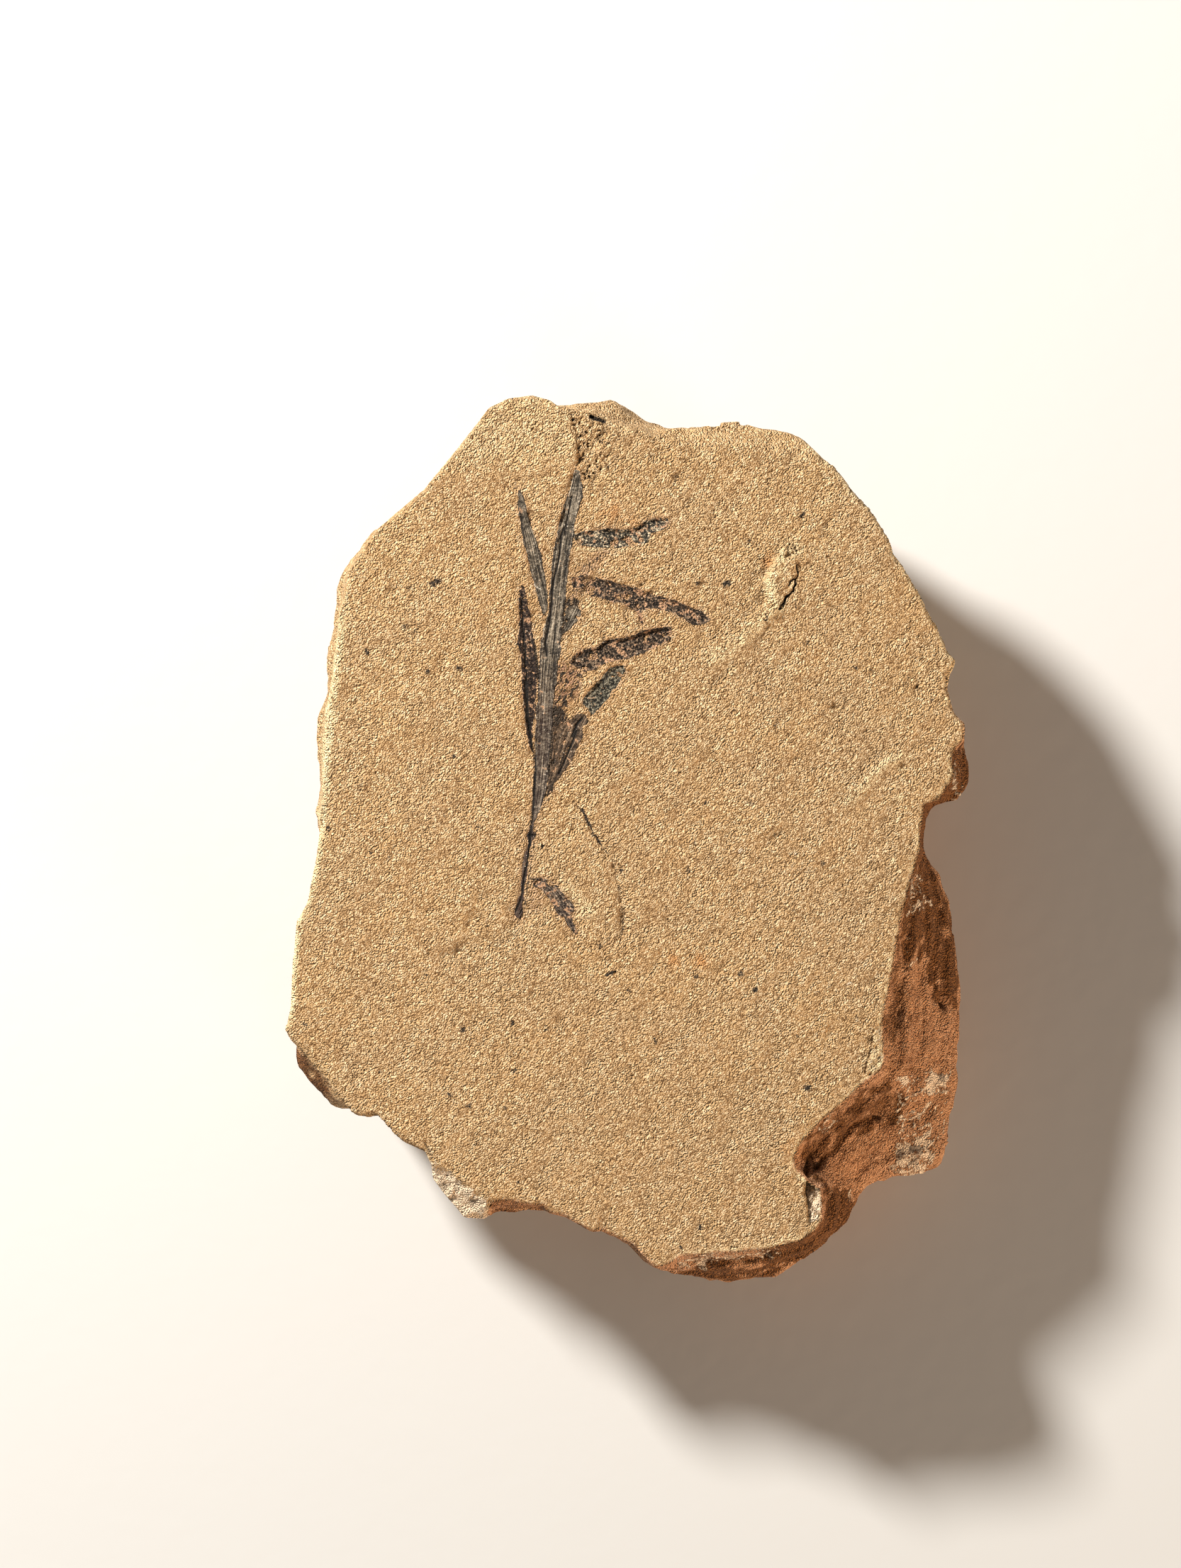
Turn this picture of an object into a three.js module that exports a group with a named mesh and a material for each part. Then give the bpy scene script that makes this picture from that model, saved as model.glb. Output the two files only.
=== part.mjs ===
import * as THREE from 'three';

// A palm-sized plate of fine siltstone, split along its bedding, with a twig of fossil dawn redwood
// pressed into the split face. It lies on its flat back. Millimetres, +Z up, +Y towards the twig's tip,
// origin at the middle of the plate's footprint.

// Heights above the flat back
const faceHeight = 18; // the split face that carries the fossil
const ledgeHeight = 15; // just under the rim, where the broken edge bulges or is undercut
const waistHeight = 10; // the widest level of the flared right flank
const skirtHeight = 4; // the flank starts to draw in towards the back
const skirtScale = 0.975; // and is this much of the waist there

// The parts of the face that leave its plane
const liftSlope = 0.17; // the upper left part rises from the fade line, up to the cliff
const shoulderDrop = 1.5; // the rim of the rounded upper right shoulder lies this much lower
const crustDrop = 1.3; // and so does the rim of the whitish crust at the lower left

// Carbon films
const filmThickness = 0.25; // each film lies on the face

// Rim of the face, clockwise from above, in stretches
const highEdge = [ // rim of the raised part, from the end of the fade line to the cliff
  [-17.6, 25.3], [-15.4, 27.2], [-14.1, 28.8], [-12.6, 30.7], [-11.5, 32.1], [-10.6, 33.3],
  [-9.2, 34.0], [-7.3, 34.3], [-6.0, 33.9], [-5.2, 33.3], [-4.3, 33.0],
];
const cliff = [ // foot of the step, from the rim down to where it dies out at the twig's tip
  [-4.3, 33.0], [-4.1, 31.8], [-3.9, 30.6], [-3.8, 28.9],
];
const topEdge = [[-4.3, 33.0], [-2.7, 32.8], [-1.6, 32.3], [-0.3, 31.8], [1.1, 31.5], [2.1, 31.0]];
const shoulderEdge = [ // silhouette of the rounded shoulder
  [2.4, 31.7], [3.2, 31.8], [4.3, 31.9], [5.1, 31.7], [6.2, 32.0], [7.3, 32.3], [8.4, 32.4],
  [9.5, 32.0], [10.3, 31.8], [11.4, 31.7], [12.5, 31.4], [13.3, 31.1], [14.4, 30.0],
];
const shoulderLine = [ // where the face starts to turn down towards that silhouette
  [2.1, 31.0], [2.8, 30.4], [4.6, 30.3], [6.2, 30.3], [7.8, 30.4], [9.4, 30.1], [11.6, 29.8],
  [13.5, 29.2], [14.8, 29.5],
];
const rightEdge = [
  [14.8, 29.5], [15.7, 28.9], [16.5, 27.9], [17.0, 27.2], [17.8, 26.3], [18.5, 25.6], [19.2, 24.5],
  [19.7, 23.7], [20.1, 23.0], [20.3, 22.1], [21.1, 21.1], [21.6, 20.2], [22.3, 19.1], [23.1, 17.4],
  [23.6, 16.7], [24.0, 15.8], [24.5, 14.6], [25.1, 14.0],
];
const spurEdge = [ // a notch above the spur, the spur, and the nick under it
  [24.9, 13.4], [24.6, 12.9], [24.4, 11.9], [24.6, 11.0], [24.9, 10.0], [25.8, 9.1], [25.7, 8.1],
  [24.8, 7.1], [24.3, 6.3], [23.9, 5.3], [22.8, 3.7],
];
const flareEdge = [ // above the flared flank, down to the scoop
  [22.6, 2.7], [22.3, 0.8], [22.3, -0.5], [21.9, -1.7], [21.3, -3.7], [20.8, -5.9], [20.4, -8.1],
  [20.1, -10.0], [19.4, -13.5], [19.5, -16.7], [19.2, -17.3], [18.1, -18.0], [17.0, -19.2],
  [14.8, -21.0], [13.1, -22.9], [12.7, -23.9],
];
const bottomEdge = [ // the chipped lower right corner and the bottom
  [12.8, -24.8], [13.8, -25.8], [14.7, -26.4], [14.8, -28.7], [14.3, -29.4], [13.2, -30.2],
  [10.5, -30.9], [6.2, -31.2], [4.0, -31.4], [3.0, -32.1], [2.1, -32.3], [1.1, -31.3], [0.5, -30.6],
  [-1.9, -29.5], [-2.7, -29.6], [-4.3, -28.7], [-4.9, -28.3], [-6.0, -28.1], [-6.5, -27.6],
  [-8.1, -27.4], [-9.2, -27.1], [-10.3, -27.3],
];
const crustEdge = [ // silhouette of the whitish crust
  [-10.8, -28.7], [-12.5, -28.6], [-13.3, -27.6], [-14.0, -26.8], [-14.9, -25.6], [-15.0, -24.5],
];
const crustLine = [[-10.3, -27.3], [-11.5, -26.2], [-12.9, -25.2], [-14.2, -24.2], [-15.4, -23.5]];
const lowerLeftEdge = [
  [-15.4, -23.5], [-16.8, -22.9], [-17.6, -22.4], [-18.2, -21.7], [-19.0, -20.8], [-19.7, -20.9],
  [-20.8, -20.8], [-22.2, -19.2], [-23.0, -18.1], [-23.8, -17.2], [-25.2, -15.5], [-26.0, -14.7],
];
const leftEdge = [
  [-26.2, -14.1], [-26.0, -13.5], [-25.7, -12.4], [-25.6, -9.4], [-25.3, -5.9], [-24.5, -4.6],
  [-24.1, -2.7], [-23.6, 0.0], [-23.4, 1.7], [-23.1, 4.9], [-22.9, 8.1], [-22.7, 10.3],
  [-22.2, 14.1], [-21.9, 17.3], [-21.5, 18.7], [-21.1, 21.1], [-19.7, 23.0], [-18.7, 24.3],
];

// Outlines of the flank at its lower levels
const ledgeOutline = [
  [-17.8, 25.4], [-15.4, 27.0], [-14.0, 28.6], [-12.5, 30.5], [-11.4, 31.9], [-10.5, 33.0],
  [-9.1, 33.8], [-7.3, 34.1], [-6.0, 33.8], [-5.2, 33.6], [-4.6, 33.8], [-3.5, 34.3], [-1.9, 34.45],
  [-0.9, 34.3], [-0.3, 33.9], [0.1, 33.3], [0.5, 32.7], [1.9, 32.3], [2.4, 31.8], [4.3, 31.9],
  [7.3, 32.2], [8.4, 32.3], [10.3, 31.7], [12.5, 31.3], [14.4, 29.8], [15.7, 28.5], [17.6, 26.1],
  [19.0, 24.1], [20.0, 22.0], [21.3, 20.0], [22.8, 17.0], [24.0, 14.4], [24.6, 13.6], [24.2, 12.0],
  [24.4, 10.8], [25.4, 9.2], [26.1, 7.6], [26.0, 6.0], [25.3, 4.4], [24.4, 3.2], [23.2, 2.6],
  [22.9, 0.6], [23.1, -0.8], [23.0, -2.4], [22.8, -4.3], [22.6, -6.4], [22.4, -8.6], [22.3, -10.8],
  [22.0, -14.0], [21.9, -17.0], [21.1, -19.0], [19.6, -20.4], [17.6, -21.8], [16.3, -23.2],
  [15.6, -24.4], [15.7, -25.4], [16.2, -26.6], [16.4, -28.6], [15.7, -30.0], [14.3, -31.2],
  [11.4, -32.6], [8.8, -33.0], [5.5, -32.8], [3.4, -33.0], [2.2, -32.7], [1.0, -31.5], [0.4, -30.8],
  [-1.9, -29.7], [-4.3, -28.9], [-6.8, -28.0], [-7.6, -28.0], [-9.0, -28.5], [-10.8, -28.8],
  [-12.5, -28.7], [-13.3, -27.7], [-14.5, -26.2], [-15.0, -25.0], [-15.2, -23.8], [-16.5, -22.5],
  [-17.4, -21.8], [-18.9, -20.2], [-20.4, -20.2], [-21.8, -18.7], [-23.4, -16.8], [-24.8, -15.2],
  [-25.5, -14.2], [-25.4, -12.4], [-25.2, -9.4], [-24.9, -6.0], [-24.2, -4.6], [-23.8, -2.6],
  [-23.6, 0.2], [-23.9, 1.7], [-24.2, 2.3], [-23.8, 4.6], [-24.1, 7.0], [-23.9, 9.8], [-23.2, 11.5],
  [-23.2, 13.5], [-23.4, 14.6], [-22.7, 16.4], [-22.7, 19.3], [-22.1, 21.2], [-20.1, 23.6],
];
const waistOutline = [
  [-16.5, 25.0], [-13.0, 28.4], [-10.8, 31.2], [-8.6, 32.8], [-5.6, 33.2], [-2.4, 33.4],
  [0.8, 32.6], [3.6, 31.6], [7.4, 32.0], [11.0, 31.0], [14.6, 28.2], [17.4, 25.0], [19.6, 21.0],
  [21.8, 17.0], [23.4, 13.0], [23.9, 9.0], [23.8, 6.0], [23.2, 3.4], [22.9, 1.3], [23.3, -0.6],
  [24.4, -2.4], [25.2, -5.1], [25.8, -8.4], [26.2, -11.4], [26.2, -14.5], [25.8, -17.2],
  [25.5, -20.5], [24.9, -23.9], [24.6, -25.1], [23.3, -25.6], [21.4, -25.9], [19.7, -26.4],
  [18.6, -26.9], [18.1, -27.6], [17.9, -28.4], [17.0, -29.9], [15.4, -31.3], [13.5, -32.6],
  [11.3, -34.2], [9.6, -34.2], [8.0, -34.45], [5.5, -33.9], [3.2, -33.4], [1.2, -31.8],
  [-1.8, -29.9], [-6.0, -28.0], [-10.4, -27.8], [-13.0, -26.4], [-15.4, -23.6], [-18.6, -20.2],
  [-21.6, -17.4], [-24.0, -14.4], [-24.6, -11.0], [-24.0, -6.0], [-23.2, -1.0], [-23.4, 4.0],
  [-23.2, 9.0], [-22.6, 14.0], [-22.0, 19.0], [-19.8, 22.4],
];
const footOutline = [
  [-14.5, 22.5], [-9.5, 29.0], [-4.0, 30.8], [3.0, 29.6], [9.0, 29.4], [13.6, 25.6], [17.6, 20.0],
  [20.6, 13.0], [21.4, 6.0], [21.6, 0.0], [22.8, -6.0], [23.6, -12.0], [23.0, -18.0],
  [21.0, -23.4], [16.6, -26.4], [12.4, -30.6], [7.0, -31.6], [1.6, -29.4], [-6.0, -26.4],
  [-12.0, -24.2], [-17.6, -18.6], [-21.6, -13.0], [-22.4, -6.0], [-21.4, 2.0], [-21.2, 10.0],
  [-19.8, 17.4],
];

// Outlines of the carbon films, from above
const filmOutlines = {
  // the main axis, with its thin lower end and the knob at its foot
  stem: [
    [-4.0, 28.5], [-4.2, 27.6], [-4.5, 26.5], [-4.9, 25.4], [-5.2, 24.4], [-5.3, 23.3], [-5.6, 22.2],
    [-5.7, 21.1], [-5.9, 19.0], [-5.9, 17.9], [-6.2, 16.8], [-6.5, 15.7], [-6.6, 14.6],
    [-6.7, 12.5], [-6.8, 11.4], [-6.9, 9.8], [-7.0, 7.6], [-7.0, 5.7], [-7.2, 3.3], [-7.3, 2.2],
    [-7.5, 1.1], [-7.8, 0.7], [-7.6, 0.0], [-7.9, -0.8], [-8.1, -1.9], [-8.1, -2.7], [-8.2, -3.7],
    [-8.5, -4.6], [-8.7, -5.0], [-8.6, -5.6], [-8.2, -5.8], [-7.9, -5.4], [-8.0, -4.8],
    [-7.9, -4.3], [-7.8, -3.2], [-7.6, -2.1], [-7.5, -1.0], [-7.4, -0.2], [-7.0, 0.6], [-7.2, 1.1],
    [-6.9, 2.2], [-6.7, 2.7], [-6.3, 4.1], [-6.1, 5.4], [-6.0, 6.8], [-5.9, 8.1], [-5.8, 9.2],
    [-5.7, 11.4], [-5.5, 12.5], [-5.4, 13.6], [-5.2, 14.6], [-5.1, 15.7], [-5.0, 17.3],
    [-4.8, 19.0], [-4.7, 20.0], [-4.6, 21.1], [-4.5, 22.2], [-4.2, 23.3], [-4.1, 24.4],
    [-3.9, 25.4], [-3.5, 26.5], [-3.5, 27.1], [-3.7, 28.3],
  ],
  // needles on the left of the stem, from the tip down
  needle_left_upper: [
    [-8.3, 27.0], [-8.1, 26.7], [-7.7, 25.4], [-7.4, 24.1], [-6.9, 23.0], [-6.6, 21.9],
    [-6.4, 20.8], [-6.2, 19.8], [-6.1, 18.7], [-6.1, 17.8], [-6.4, 17.3], [-6.6, 18.1],
    [-7.0, 19.4], [-7.3, 20.6], [-7.6, 21.7], [-7.9, 23.0], [-8.1, 24.4], [-8.3, 25.7],
  ],
  needle_left_lower: [
    [-8.2, 19.5], [-8.0, 19.6], [-7.8, 18.7], [-7.6, 17.8], [-7.4, 16.8], [-7.3, 15.7],
    [-7.2, 14.6], [-7.0, 13.6], [-7.0, 11.9], [-7.1, 10.3], [-7.3, 8.7], [-7.3, 7.1], [-7.5, 7.6],
    [-7.7, 9.2], [-7.9, 10.8], [-8.0, 12.5], [-8.0, 14.1], [-8.3, 15.4], [-8.2, 16.5], [-8.2, 17.9],
  ],
  // needles on the right of the stem, from the tip down
  needle_right_1: [
    [-4.0, 23.6], [-3.0, 23.8], [-1.4, 24.0], [-0.3, 23.9], [0.5, 24.0], [1.0, 24.3], [1.4, 24.6],
    [2.1, 24.8], [2.7, 24.8], [3.0, 24.7], [3.1, 24.4], [2.7, 24.1], [1.8, 23.8], [1.6, 23.4],
    [1.4, 23.1], [1.1, 22.9], [0.3, 22.8], [-0.8, 22.7], [-1.9, 22.7], [-3.4, 22.8], [-4.0, 23.2],
  ],
  needle_right_2: [
    [-4.2, 20.3], [-3.5, 20.4], [-2.2, 20.2], [-1.4, 20.0], [-0.3, 19.7], [0.8, 19.4], [1.6, 19.1],
    [2.4, 18.8], [3.5, 18.5], [4.6, 18.1], [5.4, 17.8], [5.9, 17.4], [6.2, 17.1], [5.8, 16.8],
    [5.1, 16.8], [4.6, 17.0], [3.8, 17.6], [3.0, 17.9], [1.9, 18.0], [1.0, 17.9], [1.1, 16.8],
    [0.7, 17.8], [-0.3, 18.4], [-1.1, 18.5], [-1.9, 18.8], [-2.7, 19.0], [-3.1, 19.2],
    [-3.4, 19.6], [-4.1, 19.6],
  ],
  needle_right_stub: [
    [-4.6, 18.0], [-4.0, 18.1], [-3.6, 17.8], [-3.7, 17.3], [-4.2, 16.8], [-4.8, 16.2], [-4.7, 17.1],
  ],
  needle_right_3: [
    [-4.3, 13.8], [-4.0, 14.4], [-3.5, 14.7], [-2.3, 14.9], [-1.9, 15.3], [-1.3, 15.6],
    [-0.3, 15.6], [0.8, 16.0], [1.8, 16.3], [2.4, 16.4], [3.0, 16.5], [3.3, 16.4], [3.3, 15.9],
    [3.1, 15.6], [2.1, 15.1], [1.1, 14.6], [0.0, 14.2], [-1.1, 14.0], [-1.6, 13.9], [-2.2, 13.6],
    [-2.7, 13.3], [-3.3, 13.2], [-4.0, 13.6],
  ],
  needle_right_4: [
    [-3.5, 10.7], [-3.3, 11.2], [-2.9, 11.6], [-2.5, 12.1], [-2.0, 12.6], [-1.6, 13.0],
    [-1.3, 13.4], [-0.8, 13.6], [-0.3, 13.6], [-0.2, 13.2], [-0.5, 12.6], [-0.8, 12.1],
    [-1.2, 11.7], [-1.5, 11.1], [-1.9, 10.7], [-2.3, 10.3], [-2.6, 9.9], [-2.8, 9.9], [-3.0, 10.4],
  ],
  needle_right_base: [
    [-6.1, 3.7], [-5.8, 4.5], [-5.2, 5.2], [-4.6, 6.0], [-4.2, 6.8], [-3.8, 7.6], [-3.5, 8.1],
    [-3.5, 9.0], [-3.1, 9.3], [-3.2, 9.8], [-3.8, 9.9], [-4.3, 9.5], [-5.2, 9.2], [-5.6, 8.7],
    [-5.7, 7.1], [-5.9, 5.4],
  ],
  // the small bent leaf beside the stem's foot, with its thorn
  leaf_low: [
    [-7.0, -2.7], [-6.5, -2.6], [-6.0, -2.8], [-5.4, -3.3], [-4.9, -3.9], [-4.5, -4.3],
    [-4.1, -4.8], [-4.2, -5.1], [-4.5, -5.3], [-4.2, -6.0], [-3.9, -6.9], [-4.5, -6.2],
    [-4.8, -5.5], [-5.3, -5.4], [-5.5, -4.8], [-5.8, -4.3], [-6.2, -3.7], [-6.5, -3.4],
    [-7.2, -3.1],
  ],
};

const stoneMaterial = new THREE.MeshStandardMaterial({ color: 0xc8a578, roughness: 0.95, metalness: 0 });

// Height of the raised part of the face. It is the face's own height along the fade line.
function liftedHeight([x, y]) {
  const [[endX, endY], [startX, startY]] = [highEdge[0], cliff[cliff.length - 1]];
  const length = Math.hypot(endX - startX, endY - startY);
  const away = ((startY - endY) * (x - startX) + (endX - startX) * (y - startY)) / length;
  return faceHeight + liftSlope * Math.max(0, -away);
}

const flat = () => faceHeight;
const lowered = (drop) => () => faceHeight - drop;
const raise = (points, height) => points.map((point) => [...point, height(point)]);

const apart = (a, b) => Math.hypot(a[0] - b[0], a[1] - b[1]);

// One closed body: the face in four regions, the cliff, the flank in rings, and the flat back
function stoneGeometry() {
  const positions = [];
  const triangles = [];
  const numbers = new Map(); // neighbouring faces share their corners
  const addPoint = (point) => {
    const place = point.map((value) => value.toFixed(6)).join();
    if (!numbers.has(place)) numbers.set(place, positions.push(...point) / 3 - 1);
    return numbers.get(place);
  };
  const addTriangle = (a, b, c) => {
    if (a !== b && b !== c && c !== a) triangles.push(a, b, c);
  };
  const addRegion = (points) => {
    const corners = points.map(addPoint);
    const plan = points.map(([x, y]) => new THREE.Vector2(x, y));
    for (const face of THREE.ShapeUtils.triangulateShape(plan, [])) {
      const [a, b, c] = face.map((k) => plan[k]);
      const facesUp = (b.x - a.x) * (c.y - a.y) > (b.y - a.y) * (c.x - a.x);
      if (!facesUp) face.reverse();
      addTriangle(...face.map((k) => corners[k]));
    }
  };
  const addWall = (upper, lower) => { // between two open lines with as many points each
    const [above, below] = [upper.map(addPoint), lower.map(addPoint)];
    for (let i = 0; i < upper.length - 1; i += 1) {
      addTriangle(above[i], above[i + 1], below[i]);
      addTriangle(above[i + 1], below[i + 1], below[i]);
    }
  };
  const addFlank = (upper, lower) => { // between two closed rings that start beside each other
    const [above, below] = [upper.map(addPoint), lower.map(addPoint)];
    let [i, j] = [0, 0];
    while (i < upper.length || j < lower.length) {
      const [nextI, nextJ] = [(i + 1) % upper.length, (j + 1) % lower.length];
      const [a, b] = [i % upper.length, j % lower.length];
      const upperIsNearer = apart(upper[nextI], lower[b]) < apart(upper[a], lower[nextJ]);
      if (j === lower.length || (i < upper.length && upperIsNearer)) {
        addTriangle(above[a], above[nextI], below[b]);
        i += 1;
      } else {
        addTriangle(above[a], below[nextJ], below[b]);
        j += 1;
      }
    }
  };

  const highRim = raise(highEdge, liftedHeight);
  const shoulderRim = raise(shoulderEdge, lowered(shoulderDrop));
  const crustRim = raise(crustEdge, lowered(crustDrop));
  const cliffTop = raise(cliff, liftedHeight);
  const cliffFoot = raise(cliff, flat);
  const shoulderBreak = raise(shoulderLine, flat);
  const crustBreak = raise(crustLine, flat);
  const rightRim = raise([...rightEdge, ...spurEdge, ...flareEdge, ...bottomEdge], flat);
  const leftRim = raise([...lowerLeftEdge, ...leftEdge], flat);
  const topRim = raise(topEdge, flat);

  // The flat region borders on the other three
  const flatRegion = [
    ...[...cliffFoot].reverse(), ...topRim.slice(1), ...shoulderBreak.slice(1, -1), ...rightRim,
    ...crustBreak.slice(1, -1), ...leftRim, highRim[0],
  ];
  addRegion(flatRegion);
  addRegion([...highRim, ...cliffTop.slice(1)]);
  addRegion([...shoulderRim, ...[...shoulderBreak].reverse()]);
  addRegion([...crustRim, ...[...crustBreak].reverse()]);
  addWall(cliffTop, cliffFoot);

  const rim = [...highRim, ...topRim, ...shoulderRim, ...rightRim, ...crustRim, ...leftRim];
  const ledge = raise(ledgeOutline, () => ledgeHeight);
  const waist = raise(waistOutline, () => waistHeight);
  const skirt = waistOutline.map(([x, y]) => [x * skirtScale, y * skirtScale, skirtHeight]);
  const foot = raise(footOutline, () => 0);
  const middle = foot.map(() => [0, 0, 0]); // the flat back is a fan round the plate's middle
  addFlank(rim, ledge);
  addFlank(ledge, waist);
  addFlank(waist, skirt);
  addFlank(skirt, foot);
  addWall([...foot, foot[0]], [...middle, middle[0]]);

  const geometry = new THREE.BufferGeometry();
  geometry.setAttribute('position', new THREE.Float32BufferAttribute(positions, 3));
  geometry.setIndex(triangles);
  return geometry;
}

// A flat film of carbon with the given outline
function filmGeometry(outline) {
  const shape = new THREE.Shape(outline.map(([x, y]) => new THREE.Vector2(x, y)));
  return new THREE.ExtrudeGeometry(shape, { depth: filmThickness, bevelEnabled: false });
}

const filmColours = {
  stem: 0x565250,
  needle_left_upper: 0x5b544e,
  needle_left_lower: 0x453c38,
  needle_right_1: 0x3d3936,
  needle_right_2: 0x423a36,
  needle_right_stub: 0x5a5655,
  needle_right_3: 0x4a3b36,
  needle_right_4: 0x3c3f3b,
  needle_right_base: 0x5a3d33,
  leaf_low: 0x403835,
};

const group = new THREE.Group();
const stone = new THREE.Mesh(stoneGeometry(), stoneMaterial);
stone.name = 'stone';
group.add(stone);

for (const [name, outline] of Object.entries(filmOutlines)) {
  const material = new THREE.MeshStandardMaterial({
    color: filmColours[name], roughness: 0.7, metalness: 0,
  });
  const film = new THREE.Mesh(filmGeometry(outline), material);
  film.name = name;
  film.position.z = faceHeight;
  group.add(film);
}

export default group;
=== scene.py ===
import math
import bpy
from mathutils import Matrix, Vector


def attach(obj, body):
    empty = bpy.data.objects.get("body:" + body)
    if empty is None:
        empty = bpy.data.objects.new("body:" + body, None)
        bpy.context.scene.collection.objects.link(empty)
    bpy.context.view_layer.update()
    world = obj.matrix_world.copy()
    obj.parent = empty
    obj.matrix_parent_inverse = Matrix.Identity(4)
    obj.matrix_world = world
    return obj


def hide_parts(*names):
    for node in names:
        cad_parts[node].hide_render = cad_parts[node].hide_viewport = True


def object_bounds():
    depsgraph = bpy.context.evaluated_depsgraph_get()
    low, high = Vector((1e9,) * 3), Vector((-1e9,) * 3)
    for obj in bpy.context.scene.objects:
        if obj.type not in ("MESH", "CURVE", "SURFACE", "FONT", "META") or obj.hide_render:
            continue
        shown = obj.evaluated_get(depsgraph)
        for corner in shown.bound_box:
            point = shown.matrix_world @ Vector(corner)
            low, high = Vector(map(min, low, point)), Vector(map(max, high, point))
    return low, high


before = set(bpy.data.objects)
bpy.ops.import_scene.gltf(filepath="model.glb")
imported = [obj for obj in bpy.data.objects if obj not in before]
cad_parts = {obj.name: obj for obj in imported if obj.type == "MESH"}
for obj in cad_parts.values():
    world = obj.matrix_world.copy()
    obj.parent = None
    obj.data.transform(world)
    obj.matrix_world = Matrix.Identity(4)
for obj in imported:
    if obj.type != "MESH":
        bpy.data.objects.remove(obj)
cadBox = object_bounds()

from types import SimpleNamespace

import bmesh
import bpy
import numpy as np
from mathutils import Matrix, Vector, noise
from mathutils.bvhtree import BVHTree

mm = 0.001  # places and sizes in this file are in millimetres, Blender's are in metres
faceHeight = 18.0
print("frame loaded:", len(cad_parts), "nodes")


# Camera, lights and floor
studio = {
    "camera": (-2.83, 4.58, 418.0),  # looks straight down
    "frameHeight": 119.57,  # how much of the face's height the camera takes in
    "sensor": 36,
    "keyAt": (-285, 268, 277),
    "keySize": 70,
    "keyPower": 5.5,
    "warmAt": (330, -290, 70),
    "warmSize": 150,
    "warmPower": 2.4,
    "skyStrength": 0.15,
    "floorSize": 3000,
}


# Helpers that work on arrays of places, in millimetres
def fade(low, high, value):
    part = np.clip((value - low) / (high - low), 0, 1)
    return part * part * (3 - 2 * part)


def highest(*parts):
    return np.maximum.reduce(parts)


def cloudAt(places, wavelength, octaves, shift, stretch=(1, 1, 1)):
    spots = places / wavelength / np.array(stretch) + shift
    return np.array([noise.fractal(spot, 1.0, 2.1, octaves) for spot in spots.tolist()])


def scoopsAt(places, size, shift, flatten):  # shallow dishes that meet in ridges
    spots = places / size * np.array((1, 1, flatten)) + shift
    return np.array([noise.voronoi(spot)[0][0] ** 2 for spot in spots.tolist()])


def points(*numbers):  # x, y, x, y and so on
    return list(zip(numbers[::2], numbers[1::2]))


# Places seen from above, and how near they lie to lines, outlines and round spots
class Plan:
    def __init__(self, x, y):
        self.x, self.y = x, y
        self.flat = np.column_stack([x, y, np.zeros(len(x))])

    def distance(self, line):
        x, y, near = self.x, self.y, np.full(len(self.x), 1e9)
        for (startX, startY), (endX, endY) in zip(line, line[1:]):
            runX, runY = endX - startX, endY - startY
            along = ((x - startX) * runX + (y - startY) * runY) / (runX ** 2 + runY ** 2 + 1e-12)
            along = np.clip(along, 0, 1)
            near = np.minimum(near, np.hypot(x - startX - along * runX, y - startY - along * runY))
        return near

    def jagged(self, line, shift=0.13):  # distance from a line made uneven
        x = self.x + shift * cloudAt(self.flat, 0.45, 2, 21.0)
        y = self.y + shift * cloudAt(self.flat, 0.45, 2, 31.0)
        return Plan(x, y).distance(line)

    def inside(self, outline):  # how far inside a closed outline, negative outside
        x, y, closed = self.x, self.y, outline + outline[:1]
        within = np.zeros(len(x), bool)
        for (startX, startY), (endX, endY) in zip(closed, closed[1:]):
            spans = (startY > y) != (endY > y)
            crossing = (endX - startX) * (y - startY) / (endY - startY + 1e-12) + startX
            within ^= spans & (x < crossing)
        return np.where(within, 1, -1) * self.distance(closed)

    def around(self, line, margin):  # which places lie near a line, and the plan of those
        xs, ys = zip(*line)
        picked = ((self.x > min(xs) - margin) & (self.x < max(xs) + margin)
                  & (self.y > min(ys) - margin) & (self.y < max(ys) + margin))
        return picked, Plan(self.x[picked], self.y[picked])

    def line(self, line, reach):  # 1 on the line, 0 at its reach
        share = np.zeros(len(self.x))
        picked, part = self.around(line, reach)
        share[picked] = fade(reach, 0, part.distance(line))
        return share

    def depth(self, outline, margin=2.0):  # as inside, but no lower than the margin
        depth = np.full(len(self.x), -margin)
        picked, part = self.around(outline, margin)
        depth[picked] = np.maximum(part.inside(outline), -margin)
        return depth

    def area(self, outline, low, high, more=0):
        return fade(low, high, self.depth(outline) + more)

    def gap(self, centreX, centreY):
        return np.hypot(self.x - centreX, self.y - centreY)

    def spot(self, centreX, centreY, radius, strength=1):
        return strength * fade(radius, 0, self.gap(centreX, centreY))

    def spots(self, rows):
        return highest(*[self.spot(*row) for row in rows])


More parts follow.
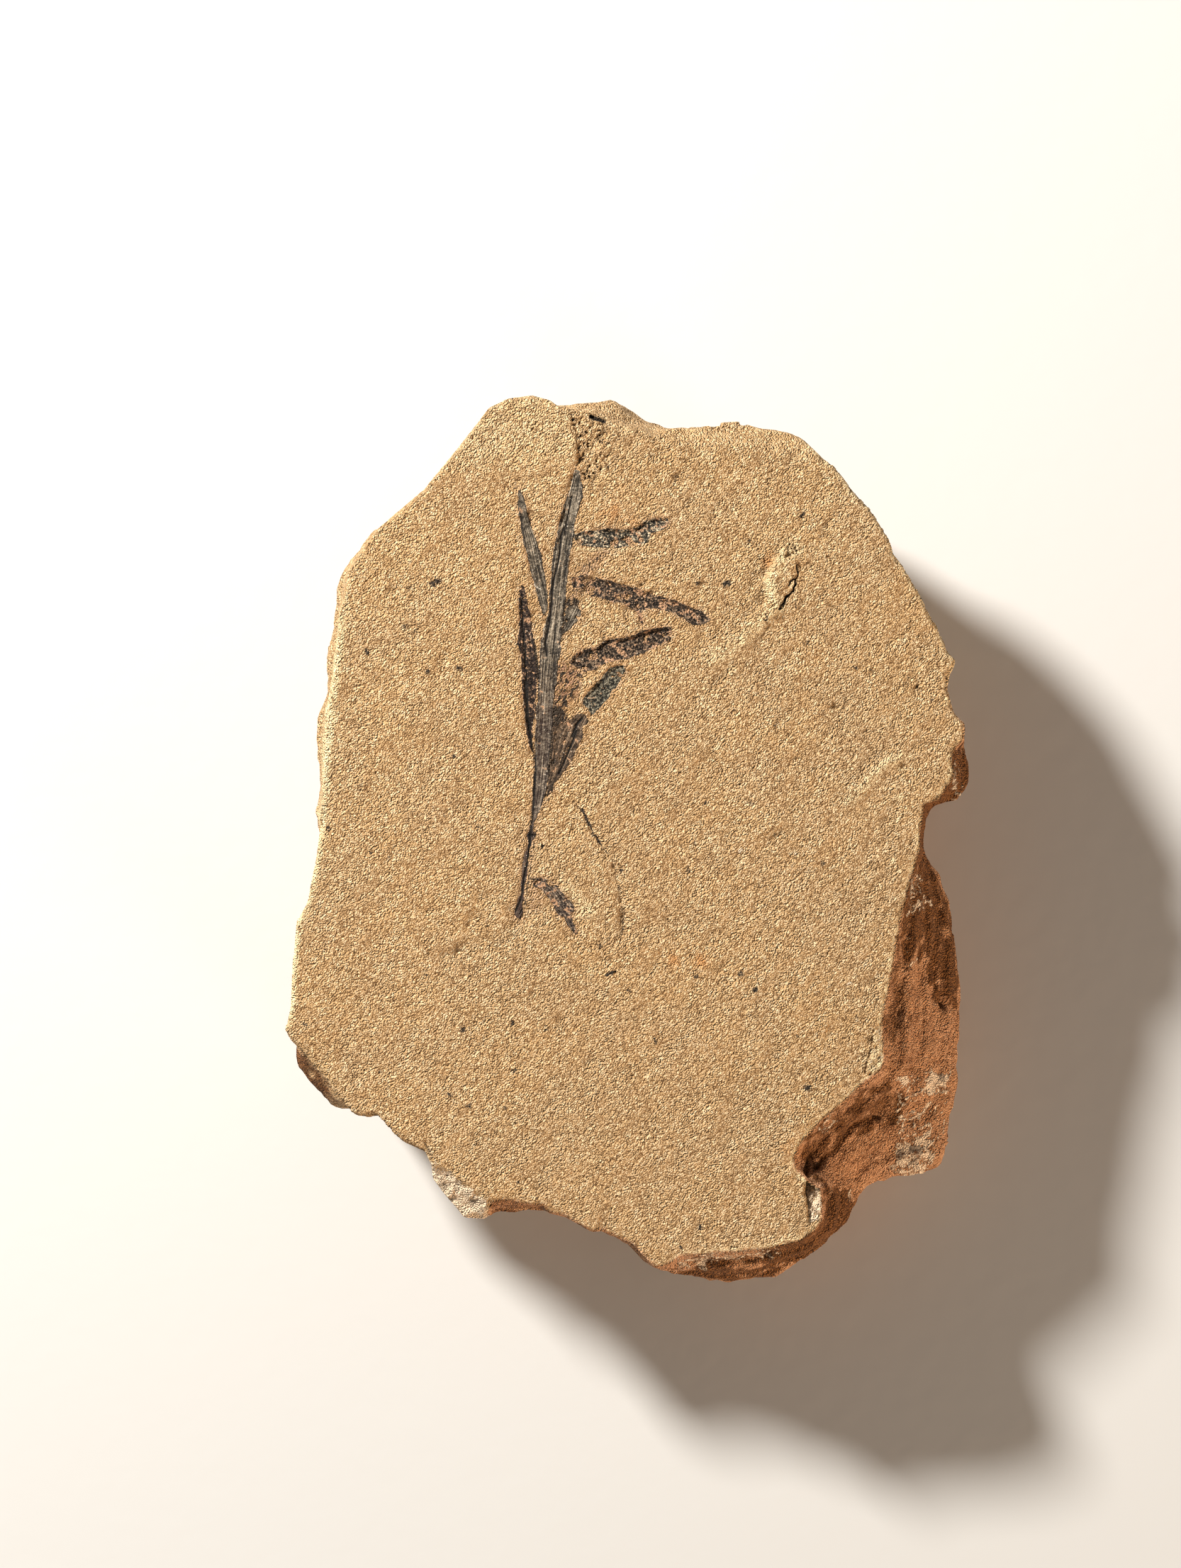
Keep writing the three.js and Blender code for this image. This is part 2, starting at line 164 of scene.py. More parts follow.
# A socket of a shader, so that its maths is written as Python expressions
class Wire:
    def __init__(self, tree, socket=None):
        self.tree, self.socket = tree, socket

    def make(self, kind, settings={}, values={}, output=0):
        node = self.tree.nodes.new(kind)
        for name, value in settings.items():
            setattr(node, name, value)
        for name, value in values.items():
            if isinstance(value, Wire):
                self.tree.links.new(value.socket, node.inputs[name])
            else:
                node.inputs[name].default_value = value
        return Wire(self.tree, node.outputs[output] if node.outputs else None)

    def maths(self, operation, *values):
        return self.make("ShaderNodeMath", {"operation": operation}, dict(enumerate(values)))

    def __add__(self, other):
        return self.maths("ADD", self, other)

    def __sub__(self, other):
        return self.maths("SUBTRACT", self, other)

    def __mul__(self, other):
        return self.maths("MULTIPLY", self, other)

    def __rsub__(self, other):
        return self.maths("SUBTRACT", other, self)

    __radd__, __rmul__ = __add__, __mul__

    def fade(self, low, high):
        return self.make("ShaderNodeMapRange", {"interpolation_type": "SMOOTHSTEP"},
                         {"Value": self, "From Min": low, "From Max": high})

    def stretched(self, *factors):  # for a place
        return self.make("ShaderNodeVectorMath", {"operation": "MULTIPLY"}, {0: self, 1: factors})

    def cloud(self, wavelength, detail, roughness):
        return self.make("ShaderNodeTexNoise", {}, {
            "Vector": self, "Scale": 1 / wavelength, "Detail": detail, "Roughness": roughness})

    def cells(self, size, output="Distance"):
        return self.make("ShaderNodeTexVoronoi", {}, {"Vector": self, "Scale": 1 / size}, output)

    def attribute(self, name):
        return self.make("ShaderNodeAttribute", {"attribute_name": name}, output="Fac")

    def turnedInto(self, other, mask):  # a colour that becomes another one where the mask is 1
        other = other if isinstance(other, Wire) else (*other, 1)
        return self.make("ShaderNodeMix", {"data_type": "RGBA"}, {0: mask, 6: self, 7: other}, 2)

    def layered(self, *layers):  # other colour, mask, where the mask is 0 and 1, strength
        colour = self
        for other, mask, low, high, strength in layers:
            colour = colour.turnedInto(other, mask.fade(low, high) * strength)
        return colour

    def between(self, low, high):  # one colour where this mask is 0, the other where it is 1
        return self.make("ShaderNodeMix", {"data_type": "RGBA"},
                         {0: self, 6: (*low, 1), 7: (*high, 1)}, 2)

    def bump(self, depth):
        return self.make("ShaderNodeBump", {}, {"Height": self, "Distance": depth * mm}, "Normal")


def newMaterial(name):
    material = bpy.data.materials.new(name)
    material.use_nodes = True
    material.node_tree.nodes.clear()
    start = Wire(material.node_tree)
    return material, start, start.make("ShaderNodeTexCoord", output="Object")


def finishMaterial(start, colour, roughness, normal, gloss):
    surface = start.make("ShaderNodeBsdfPrincipled", {}, {
        "Base Color": colour, "Roughness": roughness, "Normal": normal,
        "Specular IOR Level": gloss}, "BSDF")
    start.make("ShaderNodeOutputMaterial", {}, {"Surface": surface})


def paint(mesh, values):
    for name, share in values.items():
        layer = mesh.attributes.new(name, "FLOAT", "POINT")
        layer.data.foreach_set("value", share.astype(np.float32))


def mergedCopy(node):
    mesh = bmesh.new()
    mesh.from_mesh(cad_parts[node].data)
    bmesh.ops.remove_doubles(mesh, verts=mesh.verts, dist=0.001 * mm)
    mesh.verts.index_update()
    mesh.verts.ensure_lookup_table()
    mesh.normal_update()
    return mesh


def closedLine(mesh, after):  # the corners of a closed line, from what follows what
    first = current = next(iter(after))
    outline = []
    while not outline or current != first:
        outline.append(tuple(value / mm for value in mesh.verts[current].co.xy))
        current = after[current]
    return outline


def smoothMesh(name, form):
    mesh = bpy.data.meshes.new(name)
    form.to_mesh(mesh)
    form.free()
    mesh.polygons.foreach_set("use_smooth", [True] * len(mesh.polygons))
    return mesh


def addObject(name, content):
    thing = bpy.data.objects.new(name, content)
    bpy.context.scene.collection.objects.link(thing)
    return thing


# Carbon films: their outlines come from the frame
def filmOutline(node):
    mesh = mergedCopy(node)
    after = {loop.vert.index: loop.link_loop_next.vert.index
             for face in mesh.faces if face.normal.z > 0.9
             for loop in face.loops if abs(loop.edge.calc_face_angle(0)) > 1}
    outline = closedLine(mesh, after)
    mesh.free()
    return outline


films = {  # slot, how deep the film lies in the face, share of carbon lost in patches, look
    "stem": ("grey_carbon", 0.03, 0.0, "fibrous"),
    "needle_left_upper": ("grey_carbon", 0.03, 0.0, "fibrous"),
    "needle_left_lower": ("black_carbon", 0.07, 0.02, "ribbed"),
    "needle_right_1": ("black_carbon", 0.11, 0.04, "granular"),
    "needle_right_2": ("black_carbon", 0.12, 0.07, "mottled"),
    "needle_right_stub": ("grey_carbon", 0.04, 0.06, "fibrous"),
    "needle_right_3": ("black_carbon", 0.15, 0.04, "mottled"),
    "needle_right_4": ("green_black_carbon", 0.09, 0.03, "greenish"),
    "needle_right_base": ("brown_carbon", 0.03, 0.03, "brown"),
    "leaf_low": ("black_carbon", 0.05, 0.05, "streaky"),
}
filmOutlines = {name: filmOutline(name) for name in films}
print("film outlines read")

filmLines = [  # dark lines in the films: half width and line
    (0.12, points(-4.88, 24.09, -5.05, 23.5, -5.15, 22.47, -5.26, 21.61, -5.42, 20.96, -5.59, 20.36,
        -5.69, 19.71, -5.75, 19.01, -5.8, 18.31, -5.86, 17.66, -5.96, 16.9, -6.07, 16.2, -6.24, 15.44,
        -6.18, 14.36)),
    (0.08, points(-4.29, 26.52, -4.45, 25.44, -4.67, 24.36, -4.83, 23.44)),
    (0.19, points(-7.8, 12.47, -7.65, 9.77, -7.4, 8.15, -7.13, 6.79, -7.03, 5.71, -7.12, 4.47, -7.2, 3.28,
        -7.28, 2.2, -7.45, 0.69, -7.48, -0.23)),
    (0.12, points(-7.42, 0.4, -7.48, -0.23, -7.64, -1.31, -7.86, -2.39, -8.13, -4.18, -8.56, -5.15)),
    (0.06, points(-6.94, 1.23, -7.21, -0.5, -7.42, -1.85, -7.64, -3.21, -7.8, -4.56, -8.24, -5.37)),
    (0.2, points(-7.55, 0.69, -7.25, 0.69)),
    (0.1, points(-8.1, 18.6, -8, 17, -7.85, 15, -7.7, 12.8, -7.6, 10.6)),
    (0.1, points(-5.2, 5.4, -4.5, 7, -3.9, 8.6)),
    (0.16, points(-3.45, 9.6, -3.85, 9.1, -4.2, 8.2)),
]


# The stone
plate = {
    "voxel": 0.52,  # even grid of the whole block, halved up to three times on the face
    "flankTop": 15.9,  # only the face and its edge lie higher
    "undulation": 0.25,  # long waves of the split face
    "lumps": 0.13,
    "ripples": 0.08,
    "sandiness": 0.06,
    "streaks": 0.16,  # diagonal drag marks
    "dragAngle": 57,
    "scarps": 0.05,  # edges of thin layers in the face
    "dents": 0.11,  # torn hollows a millimetre or two wide
    "spurShift": 1.1,  # how far the end of the spur is drawn out to the right
    "stepDepth": 0.05,  # of the hollow beside the step at the top
    "stepSlope": 0.045,  # the high part at the top leans back from its step
    "topFall": 0.05,  # and down to its end
    "fractureLarge": 0.75,  # dishes of the broken sides
    "fractureSmall": 0.28,
    "fractureFine": 0.14,
    "ledges": 0.22,  # bedding steps round the sides
    "sideFill": 0.38,  # what the dishes take on average, given back
    "belly": 1.9,  # how far the lower left side swells out below the rim
    "backRelief": 0.55,
    "boxMargin": 0.05,  # kept free inside the frame's own box
}

blisterEdge = points(12.9, 21.28, 12.95, 20.63, 12.74, 20.15, 12.79, 19.82, 12.58, 19.23, 11.98, 18.74,
    11.87, 18.42, 11.66, 18.09)
cracks = [  # narrow breaks in the face: half width, depth, darkness of the painted shade in the crack, line
    (0.06, 0.22, 0.9, blisterEdge[:5]),
    (0.075, 0.26, 1, blisterEdge[4:7]),
    (0.06, 0.18, 0.8, blisterEdge[6:] + points(11.55, 17.88)),
    (0.07, 0.14, 0.7, points(12.68, 20.25, 12.47, 19.98, 12.25, 19.71)),
    (0.08, 0.1, 0.4, points(12.84, 17.95, 12.95, 18.25, 12.8, 18.55)),
    (0.1, 0.2, 1, points(13.2, 24.95, 13.42, 25.18)),
    (0.06, 0.06, 0.15, points(13.31, 26, 13.36, 25.08, 13.17, 24.3, 13.07, 23.53)),
    (0.06, 0.05, 0.2, points(11, 26.15, 12, 26.12, 12.3, 26.3)),
    (0.07, 0.12, 0.6, points(10.58, 17.5, 10.63, 17.34, 10.52, 17.17, 10.36, 17.06)),
    (0.07, 0.1, 0.6, points(9.38, 23.2, 9.17, 22.85)),
    (0.06, 0.05, 0.35, points(-12.45, 27.28, -12.07, 27.06, -11.91, 26.52, -11.96, 25.66)),
    (0.06, 0.05, 0.35, points(-12.99, 24.69, -12.61, 24.69, -12.29, 24.36, -11.91, 24.42)),
    (0.08, 0.14, 0.9, points(-1.69, -9.96, -1.26, -9.85, -0.83, -9.64)),
    (0.07, 0.02, 0.6, points(-7.6, -2.75, -7, -2.6, -6.3, -2.85)),
    (0.06, 0.06, 0.25, points(-0.07, 30.47, -0.45, 30.63, -0.29, 30.85, 0.04, 30.74)),
    (0.13, 0.4, 1, points(-2.83, 32.58, -2.3, 32.38, -1.8, 32.24)),
    (0.08, 0.14, 0.25, points(18.74, -14.23, 18.74, -14.99, 18.52, -15.75, 18.25, -16.72, 18.14, -17.37)),
    (0.07, 0.1, 0.2, points(17.75, -15.4, 17.5, -16.1, 17.62, -16.6)),
    (0.07, 0.08, 0.35, points(0.63, 18.09, 0.85, 17.55, 1.12, 16.85)),
    (0.08, 0.08, 0.2, points(-1.26, 16.69, -1.91, 15.44)),
    (0.07, 0.07, 0.2, points(-0.75, 16.9, -1.15, 16.1, -1.75, 15.2)),
    (0.09, 0.1, 0.5, points(-15.53, -22.77, -15.21, -23.21, -14.88, -23.85)),
]

# Small dark marks on the face: x, y, radius, darkness
specks = [(-19.86, 14.63, 0.22, 0.9), (-12.88, 13.39, 0.28, 0.6), (-15.26, 13.12, 0.22, 0.8),
    (-16.94, 16.63, 0.28, 0.55), (-13.26, 6.69, 0.16, 0.7), (-22.83, 1.23, 0.18, 0.8),
    (-19.53, -0.72, 0.17, 0.7), (-18.29, -1.04, 0.17, 0.7), (-11.48, -0.83, 0.16, 0.6),
    (-6.51, -0.12, 0.16, 1), (-0.45, -1.96, 0.15, 0.9), (-8.61, 1.71, 0.13, 0.6),
    (-12.56, -14.12, 0.26, 0.7), (-8.78, -13.69, 0.26, 0.7), (-13.59, -19.1, 0.26, 0.7),
    (-12.13, -19.96, 0.24, 0.7), (-9.32, -20.12, 0.18, 0.6), (13.71, -18.56, 0.28, 0.9),
    (5.55, -29.26, 0.24, 0.8), (4.04, -30.77, 0.2, 0.7), (-6.94, -26.99, 0.16, 0.6),
    (-8.34, -25.8, 0.16, 0.6), (17.44, 13.44, 0.2, 0.6), (18.52, 13.28, 0.16, 0.6),
    (22.14, 11.93, 0.2, 0.6), (23.12, 11.01, 0.2, 0.6), (13.6, 15.3, 0.28, 0.5), (14.9, -1.48, 0.22, 0.5),
    (7.39, 19.82, 0.26, 0.75), (7.71, 19.93, 0.24, 0.75), (8.63, -9.85, 0.24, 0.7),
    (9.71, -11.1, 0.26, 0.85), (5.17, -10.12, 0.22, 0.6), (2.04, -14.83, 0.13, 0.9),
    (-16.24, 16.2, 0.18, 0.5), (9.33, -13.15, 0.2, 0.5), (1.66, 29.66, 0.26, 0.45),
    (1.95, 29.23, 0.16, 0.7), (-14.78, 19.93, 0.3, 0.8), (-14.45, 20.02, 0.22, 0.8),
    (-16.78, 19.5, 0.2, 0.5), (-16.45, 19.62, 0.16, 0.4), (2.15, -15.1, 0.16, 0.8), (6, 3.15, 0.17, 0.8),
    (-11.42, 1.23, 0.28, 0.45), (-21.15, 5.71, 0.14, 0.5), (-20.4, 4.36, 0.35, 0.3), (-14, 2.2, 0.14, 0.5),
    (-15.4, -10, 0.12, 0.6), (-14.5, -6.1, 0.16, 0.4), (-24.5, -13.8, 0.2, 0.5), (-18.9, -17.3, 0.2, 0.5),
    (-8.67, -17.3, 0.22, 0.6), (-6.2, -14.15, 0.28, 0.4), (-10.07, -20.8, 0.2, 0.4),
    (-8.7, -19.75, 0.16, 0.6), (-2.1, -7.8, 0.26, 0.45), (3.63, 27.96, 0.28, 0.35),
    (5.33, 19.9, 0.22, 0.6), (5.5, 20.3, 0.14, 0.5), (8.09, 10.09, 0.2, 0.5), (11.17, 9.06, 0.26, 0.45),
    (10.03, 13, 0.12, 0.8), (-3.5, 24.9, 0.18, 0.4), (9.39, 3.15, 0.28, 0.45), (5.1, 0, 0.2, 0.35),
    (4.6, -2.04, 0.24, 0.5), (10, -3, 0.17, 0.6), (13.3, -2.66, 0.15, 0.5), (0.06, -11.1, 0.2, 0.5),
    (-1.78, -11.5, 0.15, 0.4), (17.5, -13.3, 0.24, 0.4), (19, -11.7, 0.26, 0.35),
    (12.95, -14.6, 0.18, 0.4), (14.36, -17.94, 0.2, 0.3), (3.5, -21.7, 0.15, 0.5),
    (-3.07, -25.4, 0.15, 0.4), (3.22, -29.6, 0.15, 0.5), (4.44, -30.3, 0.14, 0.5),
    (7.55, -29.3, 0.15, 0.5), (12.14, -28.3, 0.15, 0.4)]

# Lines, outlines and round spots on the face
whiteSpecks = [(16.87, -10.7, 0.2), (12.7, -0.9, 0.13), (8.6, -0.6, 0.13)]
faintLine = points(-4.24, 3.28, -3.53, 2.58, -3.21, 1.93, -2.83, 1.28, -2.34, 0.58, -1.75, -0.5,
    -1.1, -1.31, -0.83, -2.12, -0.72, -2.94, -0.51, -4.02, -0.34, -5.1, -0.34, -6.45, -0.45, -7.26)
faintLineDark = points(-3.42, 2.55, -3.28, 2.2, -3.02, 1.6, -2.65, 0.9, -2.1, 0.05, -1.56, -0.84)
faintLineWide = points(-0.83, -1.85, -0.51, -3.85, -0.29, -5.37, -0.4, -7.26)
tailLine = points(-8.24, -5.8, -8.34, -6.45, -8.51, -6.99)
bareStrip = points(-1.64, 22.47, -2.18, 21.93, -2.72, 21.12, -3.42, 20.58, -3.96, 19.23, -4.61, 18.42)
blister = points(10.62, 20.2, 11.05, 21.3, 11.75, 22.4, 12.9, 22.6, 13.6, 21.5, 13.6, 19.5, 12.9, 18.2,
    12.2, 17.6, 11.4, 17.9, 10.85, 18.4, 10.5, 19.2)
blisterLee = points(13.1, 22.1, 12.95, 21.6) + blisterEdge + points(
    11.3, 17.5, 11.6, 16.6, 14, 17, 15, 20, 14.4, 22.8)
blisterRidge = points(11.17, 17.77, 10.52, 17.23, 9.44, 16.25, 8.63, 15.44, 7.55, 14.74, 6.47, 14.09)
blisterPits = [(12.35, 22.85, 0.13), (12.62, 22.8, 0.11), (12.5, 22.52, 0.11), (12.88, 22.35, 0.14),
    (12.28, 22.42, 0.09), (12.66, 22.15, 0.12), (12.98, 22.02, 0.09), (12.42, 22.02, 0.1),
    (12.78, 22.58, 0.09), (12.35, 21.72, 0.1)]
paleRidge = points(-4.61, -3.48, -3.8, -4.29, -2.45, -5.37)
arcRidge = points(20.75, 1.4, 20.6, 0.6, 20.45, -0.3, 20.5, -1.2, 20.9, -2)
stepLine = points(-4.42, 32.93, -4.32, 31.77, -4.13, 30.81, -3.89, 29.75, -3.94, 29.07, -3.69, 28.69)
softDip = points(-8.1, -5.4, -8.9, -7.1, -10, -7.8, -12.2, -8, -14, -8.6)
tornSpots = [(-11.9, -9.4, 1.5), (-9.75, -11.9, 1), (-7.3, -11.3, 0.9), (-12.9, -8.4, 1),
    (-1.5, -8.9, 0.8), (16.3, 10.6, 1.2), (21.5, 12.6, 0.9)]
edgeRidge = points(16.9, 3.2, 17.8, 4, 18.7, 5.2, 19.9, 6.3, 21.2, 6.6)
paleChips = [(20.8, 5.7, 0.32), (20.7, 3.5, 0.36), (20.2, -1.3, 0.35), (8.6, 1.1, 0.25)]
needleLip = points(-3.75, 22.52, -2.34, 22.44, 0.36, 22.49, 1.33, 22.9, 1.87, 23.37)
stubJoin = points(-5.1, 18.4, -4.2, 18.8, -3.6, 18.6, -4.3, 16.8, -5, 15.7, -5.6, 15.4)
fanFill = points(-5.75, 10.7, -4.5, 10.2, -4.8, 8.4, -5.5, 6.2, -6.3, 4.4, -6.4, 7)
crumbZone = points(-4.1, 21.5, -2.6, 21.8, -2.1, 20.7, -3, 19.5, -4.2, 19.1)
cornerFlake = points(18.74, -14.23, 19.82, -13.48, 19.75, -16.72, 19.37, -17.46, 18.14, -17.57,
    18.25, -16.72, 18.52, -15.75)
chipSlab = points(13.6, -25.64, 14.36, -26.18, 14.74, -26.39, 14.95, -27.69, 14.74, -28.66, 13.87, -29.21,
    13.71, -27.91, 13.49, -26.56)
pittedZone = points(-4.3, 32.7, -3.9, 30.4, -3.9, 28, -2.6, 27.4, -0.9, 28.8, -0.3, 31, -1.6, 32,
    -2.8, 32.3)
pinkStain = points(-5.69, 13.66, -4.61, 14.09, -3.42, 13.01, -3.8, 11.12, -4.88, 10.31, -5.69, 10.31)
filmGap = points(-5.25, 10.2, -5.44, 8.82, -5.62, 6.4, -5.9, 4.2)
needleGap = points(-7.3, 15.6, -7.05, 14.2, -6.85, 12.7)
leafFlush = points(-7.86, -2.66, -6.24, -3.55, -6.51, -5.1, -7.59, -5.37)
crust = points(-15.2, -23.9, -14.81, -24.1, -12.75, -25.5, -10.58, -27.2, -10.58, -29.2, -12.6, -29.2,
    -13.9, -27.45, -15.6, -25.4)
# x, y, radius, share
rustSpots = [(-0.83, 25.17, 1.2, 0.75), (-1.1, 25.71, 1, 0.6), (-0.02, 24.9, 0.9, 0.75),
    (-1.95, 25.2, 0.9, 0.5), (0.45, 24.6, 0.8, 0.5), (-1.5, 24.5, 0.8, 0.4), (10.8, 21.6, 1.1, 0.6),
    (3.63, -8.8, 1, 0.8), (5.5, -9, 1.1, 0.85), (12.41, -23.21, 1.6, 0.35)]
# x, y, radius, share of carbon dust; the last three are painted shade on the side under the spur
sootAndShadeSpots = [(-3.3, 20.25, 0.45, 0.65), (-4.9, 10.75, 0.65, 0.5), (-8.42, -5.18, 0.42, 0.8),
    (-5.9, -2.6, 0.5, 0.25), (-3.38, 2.42, 0.22, 0.9), (11.85, 26.7, 0.9, 0.24), (-3.6, 19.3, 0.85, 0.42),
    (-4.2, 18.3, 0.6, 0.4), (-3, 20.9, 0.7, 0.3), (-2.16, -7.9, 0.3, 0.35), (25.6, 6.7, 0.75, 0.55),
    (25.5, 5.5, 0.8, 0.6), (25.1, 4.4, 0.8, 0.6)]
ridges = [  # height, line, reach
    (0.24, blisterRidge, 1.2), (0.22, paleRidge, 0.9), (0.14, arcRidge, 0.6),
    (-0.15, faintLine, 0.35), (-0.13, faintLineWide, 0.9), (-0.24, softDip, 1.3),
    (0.18, edgeRidge, 0.8),
]
litRidges = [  # share, line, reach of painted highlight on the lit side of ridges and of the needle's lower lip
    (0.36, blisterRidge, 1), (0.35, paleRidge, 0.8), (0.42, edgeRidge, 0.7),
    (0.75, needleLip, 0.17),
]
# share, line, reach: carbon dust along gaps and strips, and painted shadow in the soft dip
sootAndShadeLines = [
    (0.85, filmGap, 0.55), (0.85, needleGap, 0.42), (0.3, bareStrip, 0.7),
    (0.34, tailLine, 0.45), (0.24, softDip, 0.9),
]

# Marks of the side, placed as they are seen from the camera; the dark zones and side cracks are partly
# painted shade
roughBrown = points(22.41, -5.64, 23.76, -5.26, 24.68, -6.99, 25.44, -9.69, 25.76, -11.04, 25.33, -12.83,
    24.31, -12.39, 23.6, -11.31, 23.39, -9.96, 22.85, -8.61, 22.41, -7.53)
upperSide = points(21.6, -1.69, 23.6, -1.69, 24.47, -4.02, 25.01, -6.99, 22.41, -7.53, 22.31, -8.72,
    21.33, -9.26, 20.47, -8.61, 20.79, -5.37)
underSpur = points(23.3, 7.4, 26.4, 7.6, 26.4, 3.6, 24.6, 2.6, 24.3, -1.8, 21.4, -1.9, 22.2, 2.5)
crustLee = points(-10.4, -26.6, -6.4, -26.8, -6.4, -28.6, -10.4, -29.4)
rimShade = points(20.79, -5.91, 21.87, -8.07, 21.44, -10.23, 21.12, -12.39, 20.68, -14.66, 19.49, -15.21,
    19.49, -13.48, 19.82, -11.31, 20.14, -8.61)
darkBand = points(19.45, -18.1, 20.9, -19.25, 20.9, -21, 18.9, -21.5, 17.1, -21.9, 15.95, -22.7,
    14.8, -23.9, 14.06, -24.5, 13.2, -23.6, 13.6, -22.4, 15.4, -20.7, 17.1, -19.3)
lowerCrumbs = points(20.68, -21.48, 23.49, -21.58, 23.28, -24.56, 22.41, -25.04, 20.36, -24.94,
    20.31, -23.31)
darkFacet = points(14.41, -25.8, 15.93, -25.85, 17.01, -26.12, 17.87, -27.53, 17.44, -29.04, 16.14, -30.66,
    13.22, -31.85, 10.52, -32.72, 9.44, -32.39, 10.74, -30.88, 13.76, -29.8, 15.01, -28.72, 14.85, -26.45)
bottomStrip = points(3.93, -32.5, 5.39, -32.07, 6.74, -31.85, 10.52, -31.64, 11.6, -30.99, 11.6, -32.39,
    10.79, -34.12, 7.28, -34.45, 6.2, -33.69, 3.93, -33.58)
# how dark each zone is painted: partly dark stone, partly painted shade where the sides lay in shadow,
# under the spur, below the crust, on the facets and along the rim
darkZones = [
    (0.9, roughBrown), (1, darkFacet), (0.66, darkBand), (0.85, upperSide), (0.5, rimShade),
    (0.28, lowerCrumbs), (0.75, bottomStrip), (1, underSpur), (0.5, crustLee),
]
chalkPatches = [  # how solid, outline
    (0.85, points(22.31, -17.64, 23.6, -17.37, 24.47, -17.37, 24.36, -18.34, 23.39, -19.1, 22.52, -18.77)),
    (0.7, points(20.63, -17.85, 21.33, -17.69, 21.98, -17.96, 22.09, -18.45, 21.33, -18.61,
        20.79, -18.56)),
    (0.62, points(20.36, -23.31, 22.41, -22.12, 23.49, -22.12, 23.28, -24.56, 22.41, -24.94,
        20.25, -24.94)),
    (0.38, points(20.9, -21.58, 23.39, -21.58, 23.39, -22.23, 21.87, -22.56, 20.79, -22.45)),
    (0.45, points(24, 6.9, 24.7, 7, 24.6, 5.9, 24.4, 4.6, 24.1, 3.5, 23.6, 3.6, 23.6, 5.2)),
    (0.42, points(21.4, -1.9, 22.9, -2.2, 23, -4.2, 22.1, -5.6, 21.2, -4.4)),
    (0.26, points(21.2, -6.6, 22.2, -7.4, 22, -9, 21.2, -9.4)),
    (0.75, points(5.12, -31.58, 6.09, -31.53, 6.14, -32.39, 5.66, -32.56, 5.28, -32.29)),
]
crumbled = points(20.5, -17.5, 24.4, -17.2, 24.6, -21.6, 23.4, -24.6, 20.3, -24.9, 20.6, -21)
chalkLines = [
    points(20.68, -19.1, 20.9, -19.53, 21.12, -20.07),
    points(20.9, -21.15, 21.55, -20.99, 22.25, -20.88, 22.74, -20.23, 23.17, -19.75),
    points(22.41, -18.66, 21.87, -19.21, 21.33, -19.53),
    points(15.44, -20.5, 15.28, -21.04, 15.06, -21.48),
    points(15.82, -21.21, 15.49, -21.69, 15.17, -22.23),
    points(14.68, -21.8, 15.17, -21.8),
    points(21.49, -2.77, 21.87, -3.31, 22.31, -3.85),
    points(21.44, -5.37, 21.98, -4.94, 22.52, -4.29),
    points(22.74, -4.07, 23.28, -4.61),
    points(22.2, -8.61, 21.76, -8.94, 21.55, -9.26),
    points(17.01, -26.5, 17.01, -26.94),
    points(20.14, -24.61, 20.79, -24.94, 21.76, -24.94, 22.63, -24.83),
]
sideCracks = [  # half width, depth, darkness of the painted shade in the crack, line
    (0.14, 0.22, 0.5, points(21.33, -10.02, 21.06, -11.21)),
    (0.14, 0.26, 0.6, points(21.44, -12.5, 21.49, -13.53)),
    (0.15, 0.24, 0.5, points(21.12, -11.96, 20.68, -13.48, 20.36, -14.56)),
    (0.1, 0.12, 0.5, points(20.04, -16.61, 21.87, -16.5, 24.36, -16.66)),
    (0.14, 0.15, 0.6, points(19.39, -17.21, 20.79, -17.15, 22.41, -17.31)),
    (0.22, 0.35, 0.8, points(23.28, -8.5, 23.6, -10.23, 23.82, -11.31, 24.25, -12.39)),
    (0.3, 0.45, 1, points(19.17, -21.37, 18.2, -21.48, 17.55, -21.75, 17.17, -22.12, 16.85, -22.66,
        16.47, -23.21, 16.04, -23.75, 15.39, -23.91, 14.85, -24.34)),
    (0.26, 0.3, 0.9, points(14.85, -23.58, 14.41, -23.85, 14.14, -24.29, 13.93, -24.83, 13.87, -25.26)),
    (0.2, 0.35, 1, points(14.41, -24.72, 14.74, -24.5)),
    (0.12, 0.15, 0.8, points(21.55, -22.5, 21.82, -22.45)),
    (0.2, 0.4, 1.2, points(10.58, -31.69, 11.06, -31.21, 11.55, -30.77)),
]
bellyLine = points(-26.24, -14.29, -20.99, -20.77)
bottomBand = points(4.14, -32.02, 5.39, -31.58, 7.28, -31.37, 9.44, -31.26, 11.17, -31.21)


def rimOf(block):  # outline of the split face, and its triangles' edge with the flank
    def lowest(face):
        return min(vert.co.z for vert in face.verts)

    after = {loop.vert.index: loop.link_loop_next.vert.index
             for face in block.faces if lowest(face) > 16.3 * mm
             for loop in face.loops if lowest(loop.link_loop_radial_next.face) < 16 * mm}
    return closedLine(block, after)


def evenGrid(block):
    rough = bpy.data.meshes.new("plateBlock")
    block.to_mesh(rough)
    holder = addObject("plateBlock", rough)
    remesh = holder.modifiers.new("Even grid", "REMESH")
    remesh.mode, remesh.voxel_size = "VOXEL", plate["voxel"] * mm
    shaped = bpy.data.meshes.new_from_object(
        holder.evaluated_get(bpy.context.evaluated_depsgraph_get()))
    bpy.data.objects.remove(holder)
    grid = bmesh.new()
    grid.from_mesh(shaped)
    grid.normal_update()
    return grid


def places(mesh):
    return np.array([vert.co[:] for vert in mesh.verts]) / mm


def directions(mesh):
    mesh.normal_update()
    return np.array([vert.normal[:] for vert in mesh.verts])


def moveTo(mesh, spots):
    for vert, place in zip(mesh.verts, spots.tolist()):
        vert.co = Vector(place) * mm


